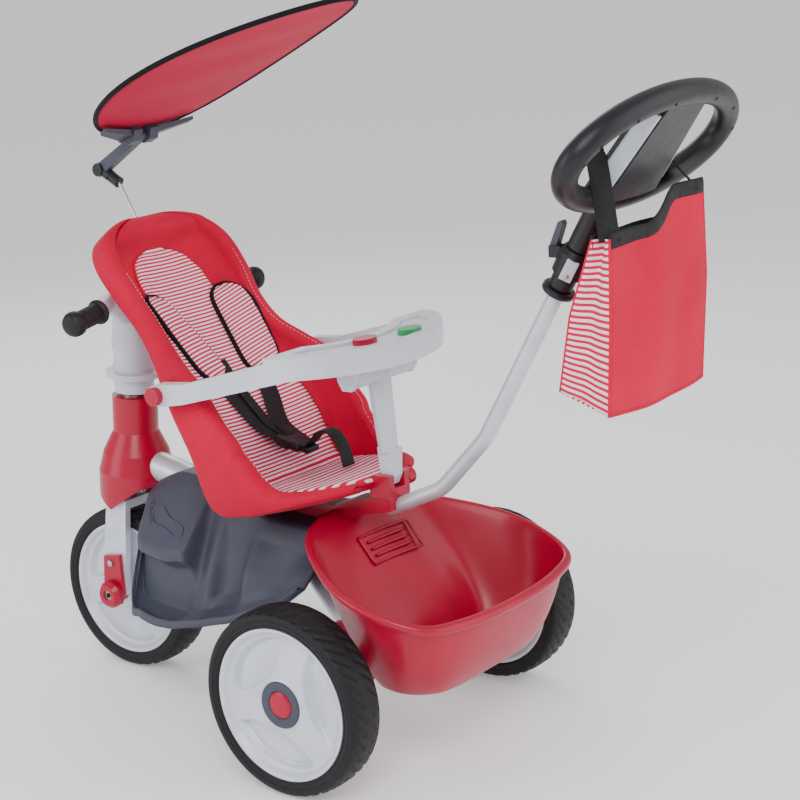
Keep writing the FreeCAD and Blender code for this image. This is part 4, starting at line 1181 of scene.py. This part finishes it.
def longest(lines):
    return max(sum((b - a).length for a, b in zip(line, line[1:])) for line in lines)


def declare_sheet(grid):
    """Works out the smaller of the grid's own area and its longest row times its longest column, and keeps
    nothing.
    """
    wide, long = longest(grid), longest(zip(*grid))
    min(grid_area(grid), wide * long)


# ------------------------------------------------------------------ canopy
CANOPY_MIDDLE = at(229, 0, 875)
CANOPY_TILT = math.radians(23.6)
CANOPY_BACK = Vector((-math.cos(CANOPY_TILT), 0, math.sin(CANOPY_TILT)))
CANOPY_UP = Vector((math.sin(CANOPY_TILT), 0, math.cos(CANOPY_TILT)))
CANOPY_HALF_LENGTH = 213
CANOPY_HALF_WIDTH = 133
CANOPY_EGG = 0.28           # how much wider the front half is than the rear
CANOPY_SAG = 0.00024        # curve along the sheet
CANOPY_CUP = 0.00040        # curve across it


def canopy_point(along, side, lift):
    """A point of the egg-shaped sheet: along runs from front to rear, side from -1 to 1."""
    u = CANOPY_HALF_LENGTH * along
    half = CANOPY_HALF_WIDTH * math.sqrt(max(0.0, 1 - along ** 2)) * (1 - CANOPY_EGG * along)
    w = half * side
    rise = CANOPY_CUP * w ** 2 - CANOPY_SAG * u ** 2
    return (CANOPY_MIDDLE + CANOPY_BACK * (u / 1000) + Vector((0, w / 1000, 0))
            + CANOPY_UP * ((rise + lift) / 1000))


def canopy_ring(share, lift):
    """The outline of the canopy at a share of its size."""
    turns = [2 * math.pi * k / 120 for k in range(120)]
    return [canopy_point(-math.cos(turn) * share, share if math.sin(turn) >= 0 else -share, lift)
            for turn in turns]


def make_canopy():
    """The stretched cloth with its black hem over the hoop and the seam inside the hem."""
    def place(down, over):
        along = -math.cos(math.pi * down) * 0.993
        side = 2 * over - 1
        slack = 1.6 * math.sin(along * 9 + side * 2) * (1 - side ** 2) * (1 - along ** 2)
        return canopy_point(along, side * 0.985, slack)

    grid = point_grid(60, 40, place)
    cloth = make_sheet("canopy_cloth", grid, 0.0011, "canopy_cloth", "canopy", "red_fabric")
    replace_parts(cloth, "canopy_fabric")
    hem = tube("canopy_hem", canopy_ring(1.0, 1.2), 0.0035, "black_cloth", "canopy", "red_fabric",
               closed=True, sides=12)
    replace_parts(hem, "canopy_hoop")
    fell = tube("canopy_fell_seam", canopy_ring(0.955, 0), 0.0009, "canopy_cloth", "canopy", "red_fabric",
                closed=True, sides=6)
    declare_sheet(grid)


# ------------------------------------------------------------------ bag
def bag_corner(t, rear, side):
    """A corner line of the bag in millimetres: t from the bottom (0) to the top (1)."""
    heights = (0.0, 0.54, 1.0)
    rear_line = ((-392, 108, 494), (-398, 110, 600), (-397, 106, 692))
    front_line = ((-329, 108, 516), (-346, 110, 604), (-374, 106, 690))
    line = rear_line if rear else front_line
    k = 0 if t < heights[1] else 1
    u = (t - heights[k]) / (heights[k + 1] - heights[k])
    x, y, z = [a * (1 - u) + b * u for a, b in zip(line[k], line[k + 1])]
    return np.array((x, side * y, z))


BAG_BELLY = 8           # how far the middle of a panel hangs out, in millimetres
BAG_RIPPLE = 4.2        # height of its upright folds
BAG_SLUMP = 5           # how far the middle of its lower edge hangs down


def bag_rise(side_share):
    """The rear panel's top edge dips on the near side and climbs on the far one."""
    return 34 * smooth_step((0.30 - side_share) / 0.75)


def bag_panel(rear):
    """The rear or front panel, with hanging folds and a belly."""
    def place(t, over):
        share = 1 - 2 * over
        left, right = bag_corner(t, rear, 1), bag_corner(t, rear, -1)
        point = left * (1 + share) / 2 + right * (1 - share) / 2
        point[2] += (bag_rise(share) if rear else 0.0) * t
        slack = 1 - share ** 2
        belly = slack * math.sin(math.pi * min(1, t * 0.9 + 0.12))
        ripple = BAG_RIPPLE * math.sin(share * 5.4 + t * 1.3) * slack * (0.45 + 0.55 * t)
        point[0] += (-1 if rear else 0.6) * (BAG_BELLY * belly + ripple)
        point[2] -= BAG_SLUMP * slack * (1 - t) ** 2
        return at(*point)

    return point_grid(30, 40, place)


def bag_gusset(side):
    """A side panel, folded inwards down its middle."""
    def place(t, u):
        front, rear = bag_corner(t, False, side), bag_corner(t, True, side)
        rear[2] += bag_rise(side) * t
        point = front * (1 - u) + rear * u
        if 0 < u < 1:
            point[1] -= side * math.exp(-((u - 0.45) / 0.22) ** 2) * (3 + 8 * t)
        return at(*point)

    return point_grid(30, 16, place)


def make_bag():
    rear, front = bag_panel(True), bag_panel(False)
    bottom = [[a.lerp(b, i / 12) for a, b in zip(front[0], rear[0])] for i in range(13)]
    for name, grid, material, slot in (("rear", rear, "bag_cloth", "red_fabric"),
                                       ("front", front, "bag_cloth", "red_fabric"),
                                       ("bottom", bottom, "gusset_stripes", "striped_fabric")):
        panel = make_sheet(f"bag_{name}_panel", grid, 0.0016, material, "handle", slot)
        declare_sheet(grid)
        if name == "rear":
            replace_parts(panel, "bag")
    for side, name in SIDES:
        grid = bag_gusset(side)
        gusset = make_sheet("bag_gusset_" + name, grid, 0.0014, "gusset_stripes", "handle", "striped_fabric")
        declare_sheet(grid)
        for place, column, radius in (("rear", -1, 0.0017), ("front", 0, 0.0014)):
            tube(f"bag_piping_{place}_{name}", [row[column] for row in grid], radius, "bag_cloth", "handle",
                 "red_fabric", sides=8)
    tube("bag_piping_bottom", rear[0], 0.0017, "bag_cloth", "handle", "red_fabric", sides=8)
    bind_edge("bag_binding_rear", rear[-1], Vector((-1, 0, 0)), 0.012)
    bind_edge("bag_binding_front", front[-1], Vector((1, 0, 0)), 0.010)
    make_bag_straps()


def bind_edge(name, edge, out, depth):
    """Folded black tape over the top edge of a panel."""
    profile = [(-1.0, -1.0), (-1.25, -0.6), (-1.3, 0.0), (-0.9, 0.35), (0.0, 0.5), (0.9, 0.35), (1.3, 0.0),
               (1.25, -0.6), (1.0, -1.0), (0.6, -0.98), (0.0, -0.2), (-0.6, -0.98)]
    loops, uvs, travelled = [], [], 0.0
    for i, point in enumerate(edge):
        before, after = edge[max(i - 1, 0)], edge[min(i + 1, len(edge) - 1)]
        forward = (after - before).normalized()
        travelled += (point - before).length
        up = Vector((0, 0, 1))
        up = (up - forward * up.dot(forward)).normalized()
        loops.append([point + out * (a * 0.0016) + up * (b * depth + 0.001) for a, b in profile])
        uvs.extend((b * depth, travelled) for a, b in profile)
    add_loops(name, loops, "webbing", "handle", uvs=uvs)


RING_MIDDLE = (-388, 0, 781)
CLAMP_REACH = 0.0185    # from the pole's middle to the face of the clamp
RING_LEAN = math.radians(53.6)


def ring_spot(angle, outward, lift):
    """A point near the ring's tube, at an angle from its rear top towards the left."""
    back = (73 + outward) * math.cos(angle)
    side = (166 + outward) * math.sin(angle)
    x = RING_MIDDLE[0] - back * math.cos(RING_LEAN) + lift * math.sin(RING_LEAN)
    z = RING_MIDDLE[2] + back * math.sin(RING_LEAN) + lift * math.cos(RING_LEAN)
    return at(x, side, z)


def make_bag_straps():
    """Black straps from the upper corners of the bag to the hub of the ring."""
    for side, name in SIDES:
        rise = bag_rise(side)
        path = [at(-352, side * 57, 770), at(-356, side * 66, 783), at(-367, side * 76, 764),
                at(-380, side * 86, 722 + rise * 0.6), at(-393, side * 99, 688 + rise)]
        path = smooth_vectors(path, 6)
        facing = [Vector((-0.75, side * 0.55, 0.25))] * len(path)
        ribbon("bag_strap_" + name, path, facing, 0.025, 0.0022, "webbing", "handle")


# ------------------------------------------------------------------ handle clamp and ring
def make_clamp_details():
    """Collar under the height clamp of the handle and the bright plate with its screw."""
    pole_up = Vector((-0.504, 0, 0.864))
    collar = [(0.0104, 0.0), (0.0196, 0.0), (0.0206, 0.0015), (0.0206, 0.0060), (0.0196, 0.0075),
              (0.0104, 0.0075)]
    turned("clamp_collar", collar, at(-261, 0, 605.5), pole_up, "black_plastic", "frame")
    facing = (Vector((-0.864, 0, -0.504)) * 0.45 + Vector((0, 0.89, 0))).normalized()
    across = pole_up.cross(facing)
    centre = at(-281, 0, 640) + facing * CLAMP_REACH
    rounded_box("clamp_plate", centre, (across, pole_up, facing), (0.015, 0.028, 0.003), 0.001,
                "silver_plastic", "frame", "black_plastic")
    make_screw("clamp_screw", centre + facing * 0.0015 - pole_up * 0.008, facing, 0.0032, "frame")


def make_ring_screw_holes():
    """Small screw recesses along the back of the ring, lined with near-black plastic as painted shade inside
    the holes.
    """
    for k, degrees in enumerate((12, 38, 66, 84, -22, -50, -80)):
        turn = math.radians(degrees)
        back = ring_spot(turn, 0, -14.3)
        axis = back - ring_spot(turn, 0, 0)
        # near-black tyre plastic here is painted shade in the holes
        turned(f"ring_screw_hole_{k}", [(0.0024, 0.0), (0.0024, 0.0006), (0.0015, 0.0007), (0.0013, 0.0002)],
               back, axis, "tyre_plastic", "handle", "black_plastic", 20)


add_camera()
make_materials()
add_floor()
add_lights()
paint_frame()

rows = make_seat_cover()
crease_at = make_seat_panel(rows)
make_panel_piping(rows, crease_at)
make_wing_stitching(rows)
make_shoulder_pads(rows, crease_at)
make_harness()
make_grips()
make_wheels()
make_footrest()
make_basket()
make_basket_relief()
make_canopy()
make_bag()
make_ring_screw_holes()
make_clamp_details()
